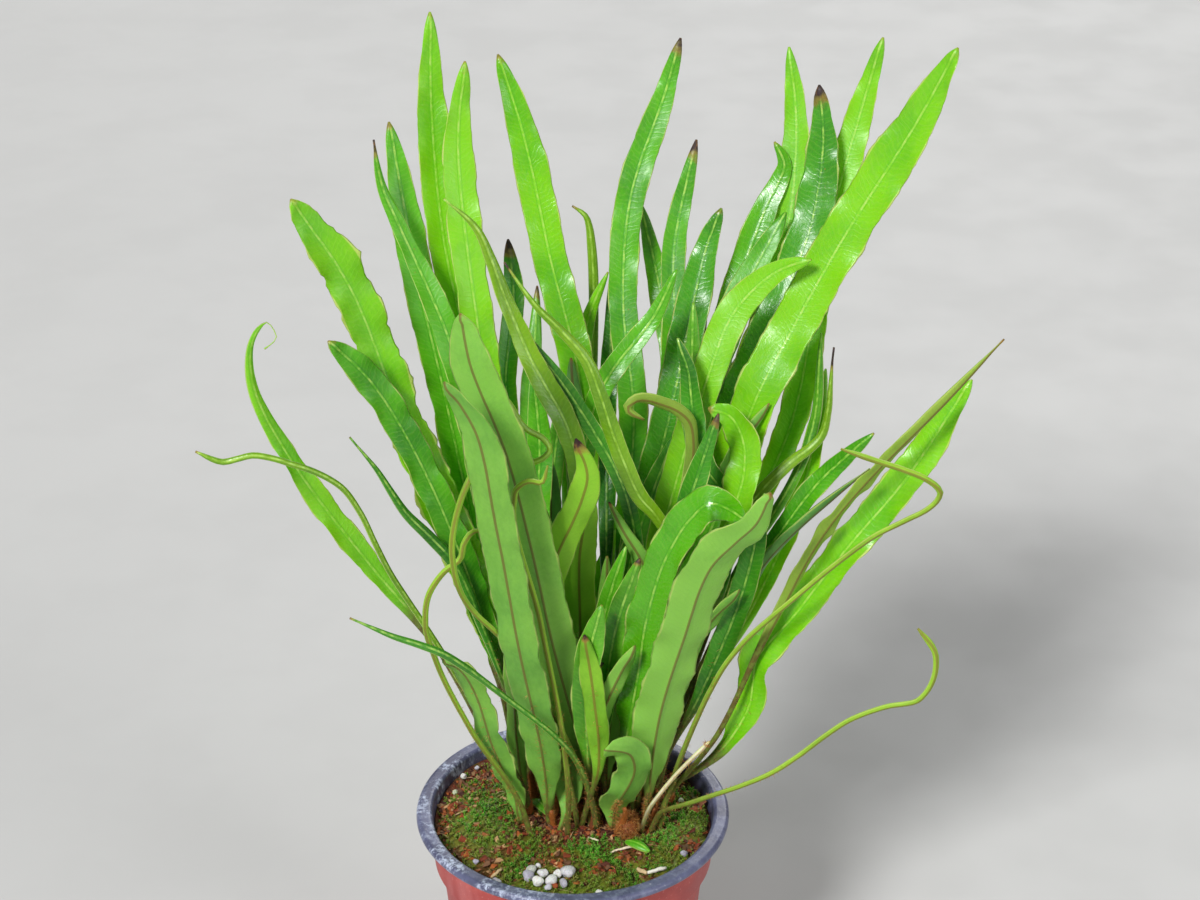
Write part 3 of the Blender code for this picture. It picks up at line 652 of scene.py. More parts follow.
def spikes(bases, ways, lengths, widths, flatness, rng):
    """Thin closed spikes, each from a base point along its way, as points and faces."""
    ways = unit(ways)
    sides = unit(np.cross(ways, unit(rng.normal(size=ways.shape))))
    others = np.cross(ways, sides)
    widths = np.broadcast_to(widths, len(bases))[:, None]
    points = np.empty((len(bases), 4, 3))
    for corner in range(3):
        angle = 2 * math.pi * corner / 3
        points[:, corner] = (bases + sides * widths * math.cos(angle)
                             + others * widths * flatness * math.sin(angle))
    points[:, 3] = bases + ways * np.broadcast_to(lengths, len(bases))[:, None]
    one = np.array(((2, 1, 0), (0, 1, 3), (1, 2, 3), (2, 0, 3)))
    faces = (one[None] + 4 * np.arange(len(bases))[:, None, None]).reshape(-1, 3)
    return points.reshape(-1, 3), faces.tolist()


def tube(course, radii, sides=6):
    """A closed tube along a course, as points and faces."""
    course = np.asarray(course, float)
    ways = unit(np.gradient(course, axis=0))
    across = unit(np.cross(ways, (0.27, 0.36, 0.89)))
    other = np.cross(ways, across)
    angles = 2 * math.pi * np.arange(sides) / sides
    ring = np.cos(angles)[None, :, None] * across[:, None] + np.sin(angles)[None, :, None] * other[:, None]
    points = course[:, None] + ring * np.asarray(radii)[:, None, None]
    faces = []
    for low in range(0, (len(course) - 1) * sides, sides):
        for side in range(sides):
            after = (side + 1) % sides
            faces.append((low + side, low + after, low + sides + after, low + sides + side))
    faces.append(tuple(range(sides))[::-1])
    faces.append(tuple(range((len(course) - 1) * sides, len(course) * sides)))
    return points.reshape(-1, 3), faces


def add_hairs(heap, bases, ways, lengths_mm, width, flatness, palest, darkest, rng):
    """Adds fine hairs of random length and tint, each from its base along its way."""
    number = len(bases)
    lengths = rng.uniform(*lengths_mm, number) * MM
    points, faces = spikes(bases, ways, lengths, width, flatness, rng)
    tints = np.column_stack((rng.uniform(palest, 1, number), rng.uniform(0, darkest, number),
                             np.zeros(number)))
    heap.add(points, faces, np.repeat(tints, 4, axis=0))


def chip_shapes(number, corners, rng):
    """Angular closed chips of unit size, as points and faces."""
    shapes = []
    for _ in range(number):
        bm = bmesh.new()
        for place in unit(rng.normal(size=(corners, 3))) * rng.uniform(0.75, 1.0, (corners, 1)):
            bm.verts.new(place)
        hull = bmesh.ops.convex_hull(bm, input=bm.verts)
        bmesh.ops.delete(bm, geom=hull["geom_interior"], context="VERTS")
        shapes.append(taken(bm))
    return shapes


def grain_shape(rng):
    """A rounded, pitted grain of unit size, as points and faces."""
    bm = bmesh.new()
    bmesh.ops.create_icosphere(bm, subdivisions=3, radius=1.0)
    offset = Vector(rng.uniform(0, 50, 3))
    for vert in bm.verts:
        swell = noise.noise(vert.co * 0.9 + offset) * 0.22
        pits = noise.noise(vert.co * 4.5 + offset) * 0.05
        vert.co *= 0.86 + 1.6 * swell + pits
    return taken(bm)


def laid(points, scale, angles, place):
    """The points of a body scaled, turned by three angles and put in its place."""
    return (points * scale) @ np.array(Euler(angles).to_matrix()).T + place


# ---------------------------------------------------------------- pot

RIM_RADIUS, _, POT_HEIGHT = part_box("pot")[1]
LIP_WIDTH = 4.7 * MM
LIP_HEIGHT = 3.4 * MM
COLLAR_HEIGHT = 21 * MM
COLLAR_DRAFT = 2.1 * MM
STEP_WIDTH = 2.7 * MM
STEP_RISE = 1.5 * MM
BODY_DRAFT = 8.5 * MM
WALL = 1.4 * MM
FLOOR = 1.5 * MM
FOOT_ROUNDING = 2 * MM
DRAIN_HOLES = 5
DRAIN_RADIUS = 4.5 * MM
DRAIN_SIDES = 40
DRAIN_CIRCLE_RADIUS = 27 * MM
POT_SEGMENTS = 180

COLLAR_TOP_RADIUS = RIM_RADIUS - LIP_WIDTH
COLLAR_FOOT_RADIUS = COLLAR_TOP_RADIUS - COLLAR_DRAFT
BODY_TOP_RADIUS = COLLAR_FOOT_RADIUS - STEP_WIDTH
BASE_RADIUS = BODY_TOP_RADIUS - BODY_DRAFT
LIP_FOOT = POT_HEIGHT - LIP_HEIGHT
COLLAR_FOOT = POT_HEIGHT - COLLAR_HEIGHT
BODY_TOP = COLLAR_FOOT - STEP_RISE


def inner_radius(height):
    """The radius of the inside of the pot's wall at a height."""
    heights = (FLOOR, BODY_TOP, COLLAR_FOOT, POT_HEIGHT)
    radii = (BASE_RADIUS, BODY_TOP_RADIUS, COLLAR_FOOT_RADIUS, COLLAR_TOP_RADIUS)
    return float(np.interp(height, heights, radii)) - WALL


def arc(centre, radius, start, stop, steps):
    """Points along a round stretch of an outline, with its angles in degrees."""
    angles = np.radians(np.linspace(start, stop, steps + 1))
    return [(centre[0] + radius * math.cos(a), centre[1] + radius * math.sin(a)) for a in angles]


def straight(start, stop, steps):
    """Points along a straight stretch, without its start."""
    return [tuple(point) for point in np.linspace(start, stop, steps + 1)[1:]]


def pot_outline():
    """The pot's outline in two lists: the terracotta outside, and the grey lip and inside."""
    lip_round = LIP_HEIGHT / 2
    small = 0.5 * MM
    outside = arc((BASE_RADIUS - FOOT_ROUNDING, FOOT_ROUNDING), FOOT_ROUNDING, -90, 0, 8)
    outside += straight(outside[-1], (BODY_TOP_RADIUS, BODY_TOP), 30)
    outside += arc((COLLAR_FOOT_RADIUS - small, COLLAR_FOOT + small), small, -60, 0, 4)
    outside += straight(outside[-1], (COLLAR_TOP_RADIUS, LIP_FOOT), 10)
    lip = arc((RIM_RADIUS - lip_round, LIP_FOOT + lip_round), lip_round, -90, 90, 16)
    inner = inner_radius(POT_HEIGHT)
    lip += straight(lip[-1], (inner + lip_round, POT_HEIGHT), 3)
    lip += arc((inner + lip_round, POT_HEIGHT - lip_round), lip_round, 95, 180, 8)
    for height in (COLLAR_FOOT, BODY_TOP, FLOOR):
        lip += straight(lip[-1], (inner_radius(height), height), 6)
    return outside, lip


def wavering_pot(radius, height, angle):
    """Draws a point of the pot in a little, as thin moulded plastic is never quite round."""
    loose = max(0.0, (height - COLLAR_FOOT) / COLLAR_HEIGHT)
    draw = 0.35 * MM * loose * (1 + math.sin(2 * angle + 0.7)) / 2
    draw += 0.12 * MM * loose * (1 + math.sin(5 * angle)) / 2
    return radius - draw


def pot_mesh():
    """The moulded shell, its floor and its drain holes."""
    outside, lip = pot_outline()
    outline = outside + lip
    bm = bmesh.new()
    rings = []
    for radius, height in outline:
        ring = []
        for step in range(POT_SEGMENTS):
            angle = 2 * math.pi * step / POT_SEGMENTS
            reach = wavering_pot(radius, height, angle)
            ring.append(bm.verts.new((reach * math.cos(angle), reach * math.sin(angle), height)))
        rings.append(ring)
    for row, (low, high) in enumerate(zip(rings, rings[1:])):
        for face in bridge(bm, low, high):
            face.material_index = 0 if row < len(outside) else 1
    below = fill_floor(bm, rings[0], 0)
    above = fill_floor(bm, rings[-1], 1)
    for low, high in zip(below, above):
        bridge(bm, low, high)
    for face in bm.faces:
        face.smooth = True
    bmesh.ops.recalc_face_normals(bm, faces=bm.faces)
    mesh = bpy.data.meshes.new("pot_shell")
    bm.to_mesh(mesh)
    bm.free()
    mesh.set_sharp_from_angle(angle=math.radians(50))
    return mesh


def fill_floor(bm, rim, material):
    """Fills one side of the floor round its drain holes, and returns their rings of corners."""
    height = rim[0].co.z
    edges = [bm.edges.get(pair) for pair in zip(rim, rim[1:] + rim[:1])]
    rings = []
    for number in range(DRAIN_HOLES):
        turn = 2 * math.pi * number / DRAIN_HOLES
        x, y = DRAIN_CIRCLE_RADIUS * math.sin(turn), -DRAIN_CIRCLE_RADIUS * math.cos(turn)
        ring = []
        for side in range(DRAIN_SIDES):
            angle = 2 * math.pi * side / DRAIN_SIDES
            ring.append(bm.verts.new((x + DRAIN_RADIUS * math.cos(angle),
                                      y + DRAIN_RADIUS * math.sin(angle), height)))
        edges += [bm.edges.new(pair) for pair in zip(ring, ring[1:] + ring[:1])]
        rings.append(ring)
    filled = bmesh.ops.triangle_fill(bm, use_beauty=True, edges=edges, normal=(0, 0, 1))
    for part in filled["geom"]:
        if isinstance(part, bmesh.types.BMFace):
            part.material_index = material
    return rings


def terracotta_material():
    """Dusty moulded plastic, paler where lime has dried on it, with painted shade just under the lip."""
    shade = Shading("pot_terracotta")
    place, _, _, height = shade.position()
    streaks = shade.noise(shade.stretch(place, (1.0, 1.0, 0.18)), 90, 4.0)
    dust = shade.noise(place, 55, 5.0, 0.65)
    fine = shade.noise(place, 900, 3.0)
    colour = shade.mix(shade.ramp(dust, 0.38, 0.68), srgb(158, 56, 54), srgb(182, 82, 76))
    colour = shade.mix(shade.ramp(streaks, 0.5, 0.75, 0.0, 0.35), colour, srgb(200, 124, 122))
    colour = shade.mix(shade.ramp(fine, 0.62, 0.72, 0.0, 0.4), colour, srgb(212, 146, 142))
    specks = shade.ramp(shade.cells(place, 260), 0.05, 0.1, 0.6, 0.0)
    colour = shade.mix(shade.times(specks, shade.ramp(dust, 0.52, 0.6)), colour,
                       srgb(92, 40, 42))
    # Painted shade: darker in a thin band just under the overhanging lip
    painted_shade_under_lip = shade.ramp(height, LIP_FOOT - 1.2 * MM, LIP_FOOT, 0.0, 0.45)
    colour = shade.mix(painted_shade_under_lip, colour, srgb(96, 44, 48))
    shade.bump(shade.plus(fine, streaks), 0.25, 0.00015)
    return shade.finish(colour, shade.ramp(dust, 0.3, 0.7, 0.42, 0.62), 0.45)


def grey_material():
    """The slate grey of the lip and the inside, with chalky lime marks on its left."""
    shade = Shading("pot_grey")
    place, right, _, height = shade.position()
    coarse = shade.noise(place, 60, 5.0, 0.6)
    smears = shade.noise(shade.stretch(place, (1.0, 1.0, 0.5)), 120, 4.0, 0.6)
    streaks = shade.noise(shade.stretch(place, (1.0, 1.0, 0.5)), 520, 5.0, 0.75)
    scuffs = shade.noise(place, 620, 3.0, 0.6)
    colour = shade.mix(shade.ramp(coarse, 0.35, 0.65), srgb(72, 74, 100), srgb(98, 102, 132))
    leftward = shade.ramp(right, 0.03, -0.045, 0.12, 1.0)
    high = shade.ramp(height, POT_HEIGHT - 12 * MM, POT_HEIGHT - 3 * MM, 0.2, 1.0)
    chalk = shade.times(shade.ramp(streaks, 0.44, 0.6), shade.ramp(smears, 0.42, 0.58))
    chalk = shade.times(chalk, shade.times(leftward, high))
    colour = shade.mix(shade.times(chalk, 0.9), colour, srgb(196, 206, 228))
    flecks = shade.times(shade.ramp(scuffs, 0.62, 0.68), shade.ramp(coarse, 0.48, 0.6))
    colour = shade.mix(shade.times(flecks, 0.55), colour, srgb(206, 204, 212))
    # Browner and darker in patches, from 3 mm below the top of the inside downwards
    darker_below_rim = shade.times(shade.ramp(height, POT_HEIGHT - 3 * MM, POT_HEIGHT - 8 * MM),
                       shade.ramp(coarse, 0.4, 0.55))
    colour = shade.mix(shade.times(darker_below_rim, 0.8), colour, srgb(74, 46, 38))
    shade.bump(shade.plus(streaks, shade.times(chalk, 0.8)), 0.3, 0.0002)
    rough = shade.plus(shade.ramp(scuffs, 0.3, 0.7, 0.26, 0.42),
                       shade.times(chalk, 0.35), True)
    return shade.finish(colour, rough, 0.5)


# ---------------------------------------------------------------- potting mix

SOIL_RINGS = 46
SOIL_SPOKES = 150
WALL_GAP = 0.3 * MM
PEAT_LUMPS = 0.9 * MM

SOIL_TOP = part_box("potting_mix")[1][2]


def node_tree(node):
    """A search tree of a CAD node."""
    return BVHTree.FromObject(frame["nodes"][node], bpy.context.evaluated_depsgraph_get())


def top_of(tree, x, y):
    """The height of a body at a place, or None where it isn't."""
    hit = tree.ray_cast(Vector((x, y, SOIL_TOP + 0.05)), Vector((0, 0, -1)))
    return hit[0].z if hit[0] else None


soil_tree = node_tree("potting_mix")


def cad_soil_height(x, y):
    """The height of the CAD potting mix under a place."""
    top = top_of(soil_tree, x, y)
    return SOIL_TOP - 1 * MM if top is None else top


def lumps(x, y, size):
    """Smooth random lumps of about one, with a size in metres."""
    return noise.noise(Vector((x / size, y / size, 3.7)))


def bank(x, y):
    """How high the mix is heaped against the wall at the back left, where it was pushed in."""
    radius = math.hypot(x, y)
    turn = math.atan2(y, x)
    leftward = max(0.0, math.cos(turn - math.radians(142))) ** 2
    return 3.2 * MM * leftward * max(0.0, (radius - 0.036) / 0.018) ** 1.3


def soil_height(x, y):
    """The height of the finished surface of the potting mix."""
    rough = 0.6 * lumps(x, y, 0.011) + 0.45 * lumps(x, y, 0.0042) + 0.25 * lumps(x, y, 0.0017)
    return cad_soil_height(x, y) + PEAT_LUMPS * (rough - 0.35) + bank(x, y)


MOSS_NODES = ("moss_left", "moss_front", "moss_right")
cushions = [node_tree(node) for node in MOSS_NODES]


def cushion_height(x, y):
    """The height of the moss cushion at a place, or None where there is none."""
    tops = (top_of(cushion, x, y) for cushion in cushions)
    return next((top for top in tops if top is not None), None)


def ground_height(x, y):
    """The height on which loose things lie: the moss or the mix."""
    top = cushion_height(x, y)
    return soil_height(x, y) if top is None else max(top - 0.5 * MM, soil_height(x, y))


# Where bark shows through the moss, as x, y and radius in millimetres
BARE_SPOTS = ((-40, 26, 15), (-47, 8, 9), (-50, -6, 8), (-43, -22, 8), (-32, -32, 9), (-7, -28, 10),
              (-20, -6, 9), (-6, -12, 9), (-24, -22, 6), (8, 0, 10), (24, -23, 8), (44, -18, 7),
              (30, -37, 7), (48, 8, 6), (12, -34, 5), (24, -8, 6), (40, 26, 8))


def bareness(x, y):
    """How bare of moss a place is, from 0 to 1."""
    share = 0.0
    for spot_x, spot_y, radius in BARE_SPOTS:
        away = math.hypot(x / MM - spot_x, y / MM - spot_y) / radius
        share = max(share, 1.25 - away)
    ragged = 0.5 * lumps(x, y, 0.006) + 0.35 * lumps(x + 0.1, y, 0.0025)
    return min(max(share + ragged, 0.0), 1.0)


def soil_mesh():
    """The lumpy potting mix, which fills the pot."""
    bm = bmesh.new()
    edge = inner_radius(SOIL_TOP) - WALL_GAP
    centre = bm.verts.new((0.0, 0.0, soil_height(0.0, 0.0)))
    rings = [[centre] * SOIL_SPOKES]
    outline = [edge * math.sqrt(step / SOIL_RINGS) for step in range(1, SOIL_RINGS + 1)]
    for radius in outline:
        ring = []
        for spoke in range(SOIL_SPOKES):
            angle = 2 * math.pi * (spoke + 0.5 * (len(rings) % 2)) / SOIL_SPOKES
            x, y = radius * math.cos(angle), radius * math.sin(angle)
            ring.append(bm.verts.new((x, y, soil_height(x, y))))
        rings.append(ring)
    for height in (COLLAR_FOOT, BODY_TOP, FLOOR + WALL_GAP):
        radius = inner_radius(height) - WALL_GAP
        ring = []
        for spoke in range(SOIL_SPOKES):
            angle = 2 * math.pi * (spoke + 0.5 * (SOIL_RINGS % 2)) / SOIL_SPOKES
            ring.append(bm.verts.new((radius * math.cos(angle), radius * math.sin(angle), height)))
        rings.append(ring)
    for inner, outer in zip(rings, rings[1:]):
        for face in bridge(bm, inner, outer):
            face.smooth = True
    bm.faces.new(rings[-1])
    bmesh.ops.recalc_face_normals(bm, faces=bm.faces)
    mesh = bpy.data.meshes.new("potting_mix_body")
    bm.to_mesh(mesh)
    bm.free()
    return mesh


def soil_material():
    """Moist peat and fine bark, reddish in places, with a green film in others."""
    shade = Shading("peat")
    place, *_ = shade.position()
    coarse = shade.noise(place, 70, 4.0)
    middle = shade.noise(place, 300, 4.0, 0.65)
    fine = shade.noise(place, 1400, 3.0, 0.6)
    colour = shade.mix(shade.ramp(middle, 0.35, 0.65), srgb(52, 32, 26), srgb(116, 64, 44))
    colour = shade.mix(shade.ramp(coarse, 0.45, 0.65, 0.0, 0.55), colour, srgb(128, 58, 38))
    film = shade.noise(place, 110, 5.0, 0.6)
    colour = shade.mix(shade.ramp(film, 0.52, 0.66, 0.0, 0.6), colour, srgb(92, 104, 30))
    colour = shade.mix(shade.ramp(fine, 0.58, 0.75, 0.0, 0.6), colour, srgb(196, 150, 104))
    shade.bump(shade.plus(middle, fine), 0.9, 0.0008)
    return shade.finish(colour, 0.9, 0.25)


def tinted_material(name, colours, roughness, scale, bump=0.5, subsurface=0.0, tip_colour=None):
    """A material whose tint runs through its colours from body to body, with its own tip colour."""
    shade = Shading(name)
    _, share, painted_shade_and_tone, tip = shade.attribute("tint")
    place, *_ = shade.position()
    grain = shade.noise(place, scale, 4.0, 0.6)
    fine = shade.noise(place, scale * 4, 3.0)
    colour = colours[0]
    last = len(colours) - 1
    for step, following in enumerate(colours[1:]):
        colour = shade.mix(shade.ramp(share, (step + 0.2) / last, (step + 0.8) / last), colour, following)
    darker = shade.mix(1.0, colour, (0.25, 0.22, 0.2, 1.0), "MULTIPLY")
    # The second tint value darkens: on the moss it is painted shade, on every other body random tone
    colour = shade.mix(shade.plus(shade.ramp(grain, 0.4, 0.7, 0.0, 0.4), painted_shade_and_tone, True),
                       colour, darker)
    if tip_colour:
        colour = shade.mix(shade.ramp(tip, 0.35, 1.0, 0.0, 0.6), colour, tip_colour)
    shade.bump(shade.plus(grain, fine), bump, 0.0003)
    return shade.finish(colour, shade.ramp(fine, 0.3, 0.7, roughness - 0.08, roughness + 0.06), 0.35,
                        subsurface, 0.0015)


def scattered(rng, number, keep):
    """Random places inside the pot, kept with a chance that a rule gives."""
    places = []
    edge = inner_radius(SOIL_TOP) - 1.5 * MM
    while len(places) < number:
        x, y = rng.uniform(-edge, edge, 2)
        if math.hypot(x, y) < edge and rng.random() < keep(x, y):
            places.append((x, y))
    return places


def bare_ground(x, y):
    """Where the bark shows: round the fronds, by the wall and in patches."""
    crown = 1.0 if math.hypot((x - 0.008) / 0.036, (y - 0.012) / 0.028) < 1 else 0.0
    return max(0.05, crown, bareness(x, y))


def make_chips():
    """Bark chips and crumbs of peat, lying flat."""
    rng = np.random.default_rng(SEED + 400)
    shapes = chip_shapes(14, 11, rng)
    heap = Heap()
    for x, y in scattered(rng, 2300, bare_ground):
        points, faces = shapes[rng.integers(len(shapes))]
        size = min(rng.gamma(3.0, 0.45) * 0.6 * MM + 0.5 * MM, 3.4 * MM)
        scale = np.array((size, size * rng.uniform(0.35, 0.9), size * rng.uniform(0.2, 0.45)))
        angles = (rng.normal(0, 0.35), rng.normal(0, 0.35), rng.uniform(0, 6.28))
        place = np.array((x, y, ground_height(x, y) + scale[2] * rng.uniform(0.4, 1.2)))
        heap.add(laid(points, scale, angles, place), faces, (rng.random(), rng.uniform(0, 0.35), 0))
    colours = [srgb(84, 42, 30), srgb(140, 62, 34), srgb(184, 98, 46), srgb(126, 88, 62),
               srgb(208, 166, 116)]
    heap.piece("bark_chips", tinted_material("bark", colours, 0.8, 700, 0.8), "potting_mix", smooth=False)


def curled_course(start, turn, length, curl, rise, steps):
    """A gently bent course that starts at a place and runs on over the ground."""
    points = [np.array(start, float)]
    for step in range(1, steps):
        angle = turn + curl * step / steps
        climb = rise * math.sin(math.pi * step / (steps - 1))
        points.append(points[-1] + length / (steps - 1) * np.array((math.cos(angle), math.sin(angle), 0)))
        points[-1][2] = start[2] + climb
    return np.array(points)


def make_fibres():
    """Roots, coir fibres and bits of twig among the moss."""
    rng = np.random.default_rng(SEED + 410)
    heap = Heap()
    for x, y in scattered(rng, 260, lambda x, y: 0.3 + 0.7 * bare_ground(x, y)):
        thick = rng.choice((0.08, 0.12, 0.22), p=(0.5, 0.38, 0.12)) * MM
        length = rng.uniform(3, 9) * MM
        inward = math.atan2(-y, -x) if math.hypot(x, y) > 0.04 else rng.uniform(0, 6.28)
        start = (x, y, ground_height(x, y) + thick + rng.uniform(0.1, 0.8) * MM)
        course = curled_course(start, inward + rng.normal(0, 0.9), length, rng.normal(0, 0.8),
                               rng.uniform(0, 1.0) * MM, 7)
        radii = thick * np.array((0.6, 0.9, 1.0, 1.0, 0.9, 0.7, 0.3))
        heap.add(*tube(course, radii, 5), (rng.random() ** 1.6, rng.uniform(0, 0.25), 0))
    colours = [srgb(84, 46, 30), srgb(140, 72, 36), srgb(182, 116, 58), srgb(206, 180, 136)]
    heap.piece("root_fibres", tinted_material("fibre", colours, 0.75, 900), "potting_mix")


# Where the pumice lies, as x and y from the pot's axis and size across, in millimetres: a small
# heap at the front and a few strays
PUMICE = ((-16, -39, 5.2), (-15.2, -35.2, 5), (-12.4, -42.2, 5), (-10.6, -38, 4.4), (-7.6, -42, 5),
          (-5.4, -38.4, 4), (-1.4, -38, 6.4), (-3, -43.6, 4.4), (-8.8, -45, 3.4), (-12.6, -33, 2.6),
          (-28, -40, 4.4), (42, 13, 3), (-43, 26, 3), (-38, 32, 2.6), (42, -24, 3), (10, -47.5, 3),
          (-46, 16, 2.2), (-36, -29, 2.4))


def make_pumice():
    """White and grey pumice grains that lie on the moss."""
    rng = np.random.default_rng(SEED + 420)
    heap = Heap()
    for x, y, size in np.array(PUMICE) * MM:
        points, faces = grain_shape(rng)
        scale = size / 2 * np.array((1.0, rng.uniform(0.8, 1), rng.uniform(0.75, 0.95)))
        angles = (rng.normal(0, 0.4), rng.normal(0, 0.4), rng.uniform(0, 6.28))
        place = np.array((x, y, ground_height(x, y) + 1 * MM + scale[2] * 0.5))
        heap.add(laid(points, scale, angles, place), faces, (rng.random(), rng.uniform(0, 0.15), 0))
    colours = [srgb(246, 246, 240), srgb(214, 212, 222), srgb(190, 186, 204), srgb(222, 232, 196)]
    heap.piece("pumice_grains", tinted_material("pumice", colours, 0.7, 1600, 0.8, 0.1), "potting_mix")


# ---------------------------------------------------------------- small fronds between the others

Small = namedtuple("Small", "name slot side foot width bare dry tint through")

# Small fronds that stand between the CAD ones, from back to front. foot is where the stipe leaves
# the mix, in millimetres from the pot's axis, and through the places that the midrib passes, with
# their height above the mix. side is 1 where the upper side is seen from the front.
SMALL_FRONDS = (
    # mid_dark: deep green and darkened with painted shade, as it stands in shade
    Small("mid_dark", "leaf_deep", 1, (11, 25), 7, 0.3, 0.03, 0.6,
          ((9, 46, 114), (10, 66, 147), (12, 76, 168), (13, 84, 192))),
    Small("mid_lime", "leaf_lime", 1, (5, 24), 7, 0.35, 0.01, 0.1,
          ((6, 46, 136), (6, 60, 163), (7, 70, 179), (11, 76, 195))),
    Small("dead_tip", "leaf_olive", 1, (26, 22), 5.5, 0.3, 0.13, 0.5,
          ((44, 46, 136), (50, 62, 170), (53, 70, 183), (56, 74, 193))),
    Small("short_back", "leaf_grey", 1, (-6, 22), 7, 0.3, 0.03, 0.3,
          ((-16, 34, 122), (-16, 50, 155), (-14, 60, 175), (-13, 70, 193))),
    Small("right_fresh", "leaf_lime", 1, (27, 17), 8, 0.3, 0.0, 0.1,
          ((55, 20, 92), (73, 32, 131), (80, 38, 151), (84, 42, 165), (87, 44, 176))),
    Small("pale_gloss", "leaf_mid", 1, (3, 14), 10, 0.15, 0.0, 0.1,
          ((4, 16, 83), (0, 24, 120), (-1, 31, 145), (-6, 36, 172))),
    Small("dark_narrow", "leaf_deep", 1, (14, 7), 6, 0.3, 0.02, 0.3,
          ((22, 0, 65), (25, 1, 108), (19, 3, 140), (7, 8, 162), (-4, 13, 178), (-14, 17, 190),
           (-22, 20, 200))),
    Small("dark_under", "leaf_grey", -1, (22, 3), 8, 0.3, 0.012, 0.6,
          ((40, 2, 74), (51, 4, 115), (60, 6, 142), (66, 9, 156), (72, 11, 166))),
    Small("grey_narrow", "leaf_grey", -1, (14, 2), 6, 0.2, 0.02, 0.4,
          ((18, 0, 59), (21, 0, 90), (21, 1, 108), (18, 2, 118), (14, 3, 128), (10, 4, 140))),
    Small("fresh", "leaf_mid", 1, (6, 2), 7, 0.2, 0.0, 0.0,
          ((8, 1, 58), (10, 0, 85), (13, -1, 103), (17, -2, 122))),
    Small("bent_grey", "leaf_grey", -1, (-5, -6), 11, 0.05, 0.05, 0.4,
          ((-10, -7, 22), (-15, -9, 42), (-21, -11, 62))),
    Small("thin_crozier", "sprout", 1, (2, -3), 2.2, 1.0, 0.0, 0.2,
          ((-17, -15, 90), (-22, -17, 140), (-15, -17, 163), (-9, -17, 166), (-7, -17, 169),
           (-9, -17, 173), (-15, -17, 177), (-21, -17, 187), (-26, -17, 194))),
    Small("hooked_sprout", "sprout", -1, (-2, -8), 3, 1.0, 0.0, 0.0,
          ((-20, -22, 105), (-24, -33, 157), (-22, -36, 163), (-17, -37, 166), (-12, -37, 165),
           (-9, -37, 171))),
    Small("left_crozier", "sprout", -1, (-16, -8), 2.6, 1.0, 0.0, 0.0,
          ((-34, -24, 53), (-44, -38, 90), (-47, -44, 109), (-45, -46, 124), (-40, -45, 132),
           (-35, -43, 136), (-34, -41, 141), (-31, -39, 145), (-26, -36, 143))),
)

STIPE_HALF = 1.1 * MM
INNER_FRONDS = 16
FIT_TRIES = 60


def inner_fronds():
    """Short fronds that fill the middle of the plant."""
    rng = np.random.default_rng(SEED + 300)
    found = []
    for number in range(INNER_FRONDS):
        turn = 2.4 * number + rng.normal(0, 0.3)
        out = 0.35 + 0.65 * math.sqrt((number + 0.5) / INNER_FRONDS)
        foot = np.array((8 + 21 * out * math.cos(turn), 10 + 13 * out * math.sin(turn)))
        height = rng.uniform(85, 175)
        lean = np.array((foot[0] * 0.9, 8 + 24 * math.sin(turn))) * height / 110
        places = []
        for share in (0.4, 0.75, 1.0):
            x, y = foot + lean * share ** 1.4 + rng.normal(0, 1.5, 2)
            places.append((x, y, height * share))
        slot = ("leaf_mid", "leaf_deep", "leaf_grey", "leaf_lime")[number % 4]
        found.append(Small(f"inner_{number + 1}", slot, 1 if rng.random() < 0.7 else -1, tuple(foot),
                           rng.uniform(7, 10), 0.25, rng.choice((0.0, 0.01, 0.03)),
                           rng.uniform(0.1, 0.6), tuple(places)))
    return found


def small_spine(small, shift, bend):
    """The course, sides and width of a small frond, with its upper part moved and its middle bent."""
    x, y = np.array(small.foot) * MM
    foot = np.array((x, y, soil_height(x, y) - 0.4 * MM))
    places = np.array(small.through, float) * MM + (0, 0, SOIL_TOP)
    rise = unit(unit(places[0] - foot) + (0, 0, 0.8))
    knots = np.vstack((foot, foot + 11 * MM * rise, places))
    travelled = travel(knots)
    share = travelled[:, None] / travelled[-1]
    knots = knots + smooth_step(share / 0.6) * shift + np.sin(math.pi * share) * bend
    wanted = rows_along(travelled)
    centre = through(travelled, knots, wanted)
    facing = np.column_stack((-5.0 * centre[:, 0], np.full(len(wanted), -small.side),
                              np.full(len(wanted), 0.4)))
    reach = wanted / wanted[-1]
    widening = smooth_step((reach - small.bare) / (0.2 + 0.5 * small.bare))
    half = STIPE_HALF + (small.width / 2 * MM - STIPE_HALF) * widening
    tip = np.clip((1 - reach) / (0.04 if small.bare == 1.0 else 0.16), 0, 1) ** 0.55
    return facing_spine(centre, facing, np.maximum(half * tip, 0.35 * MM), wanted)


def band(spine, lift):
    """Points and faces of the flat band between a frond's margins, lifted by so much."""
    middle = spine.centre + spine.up * lift
    left = middle - spine.side * spine.half[:, None]
    right = middle + spine.side * spine.half[:, None]
    points = np.stack((left, right), axis=1).reshape(-1, 3)
    low = 2 * np.arange(len(middle) - 1)[:, None]
    return points, low + np.array((0, 1, 3, 2))


def standing_bands(known):
    """A search tree of bands a little above and below every frond that stands already."""
    points, faces, count = [], [], 0
    for spine in known:
        for lift in (-1.3 * MM, 1.3 * MM):
            some, corners = band(spine, lift)
            points.append(some)
            faces.append(corners + count)
            count += len(some)
    return BVHTree.FromPolygons(np.concatenate(points).tolist(), np.concatenate(faces).tolist())


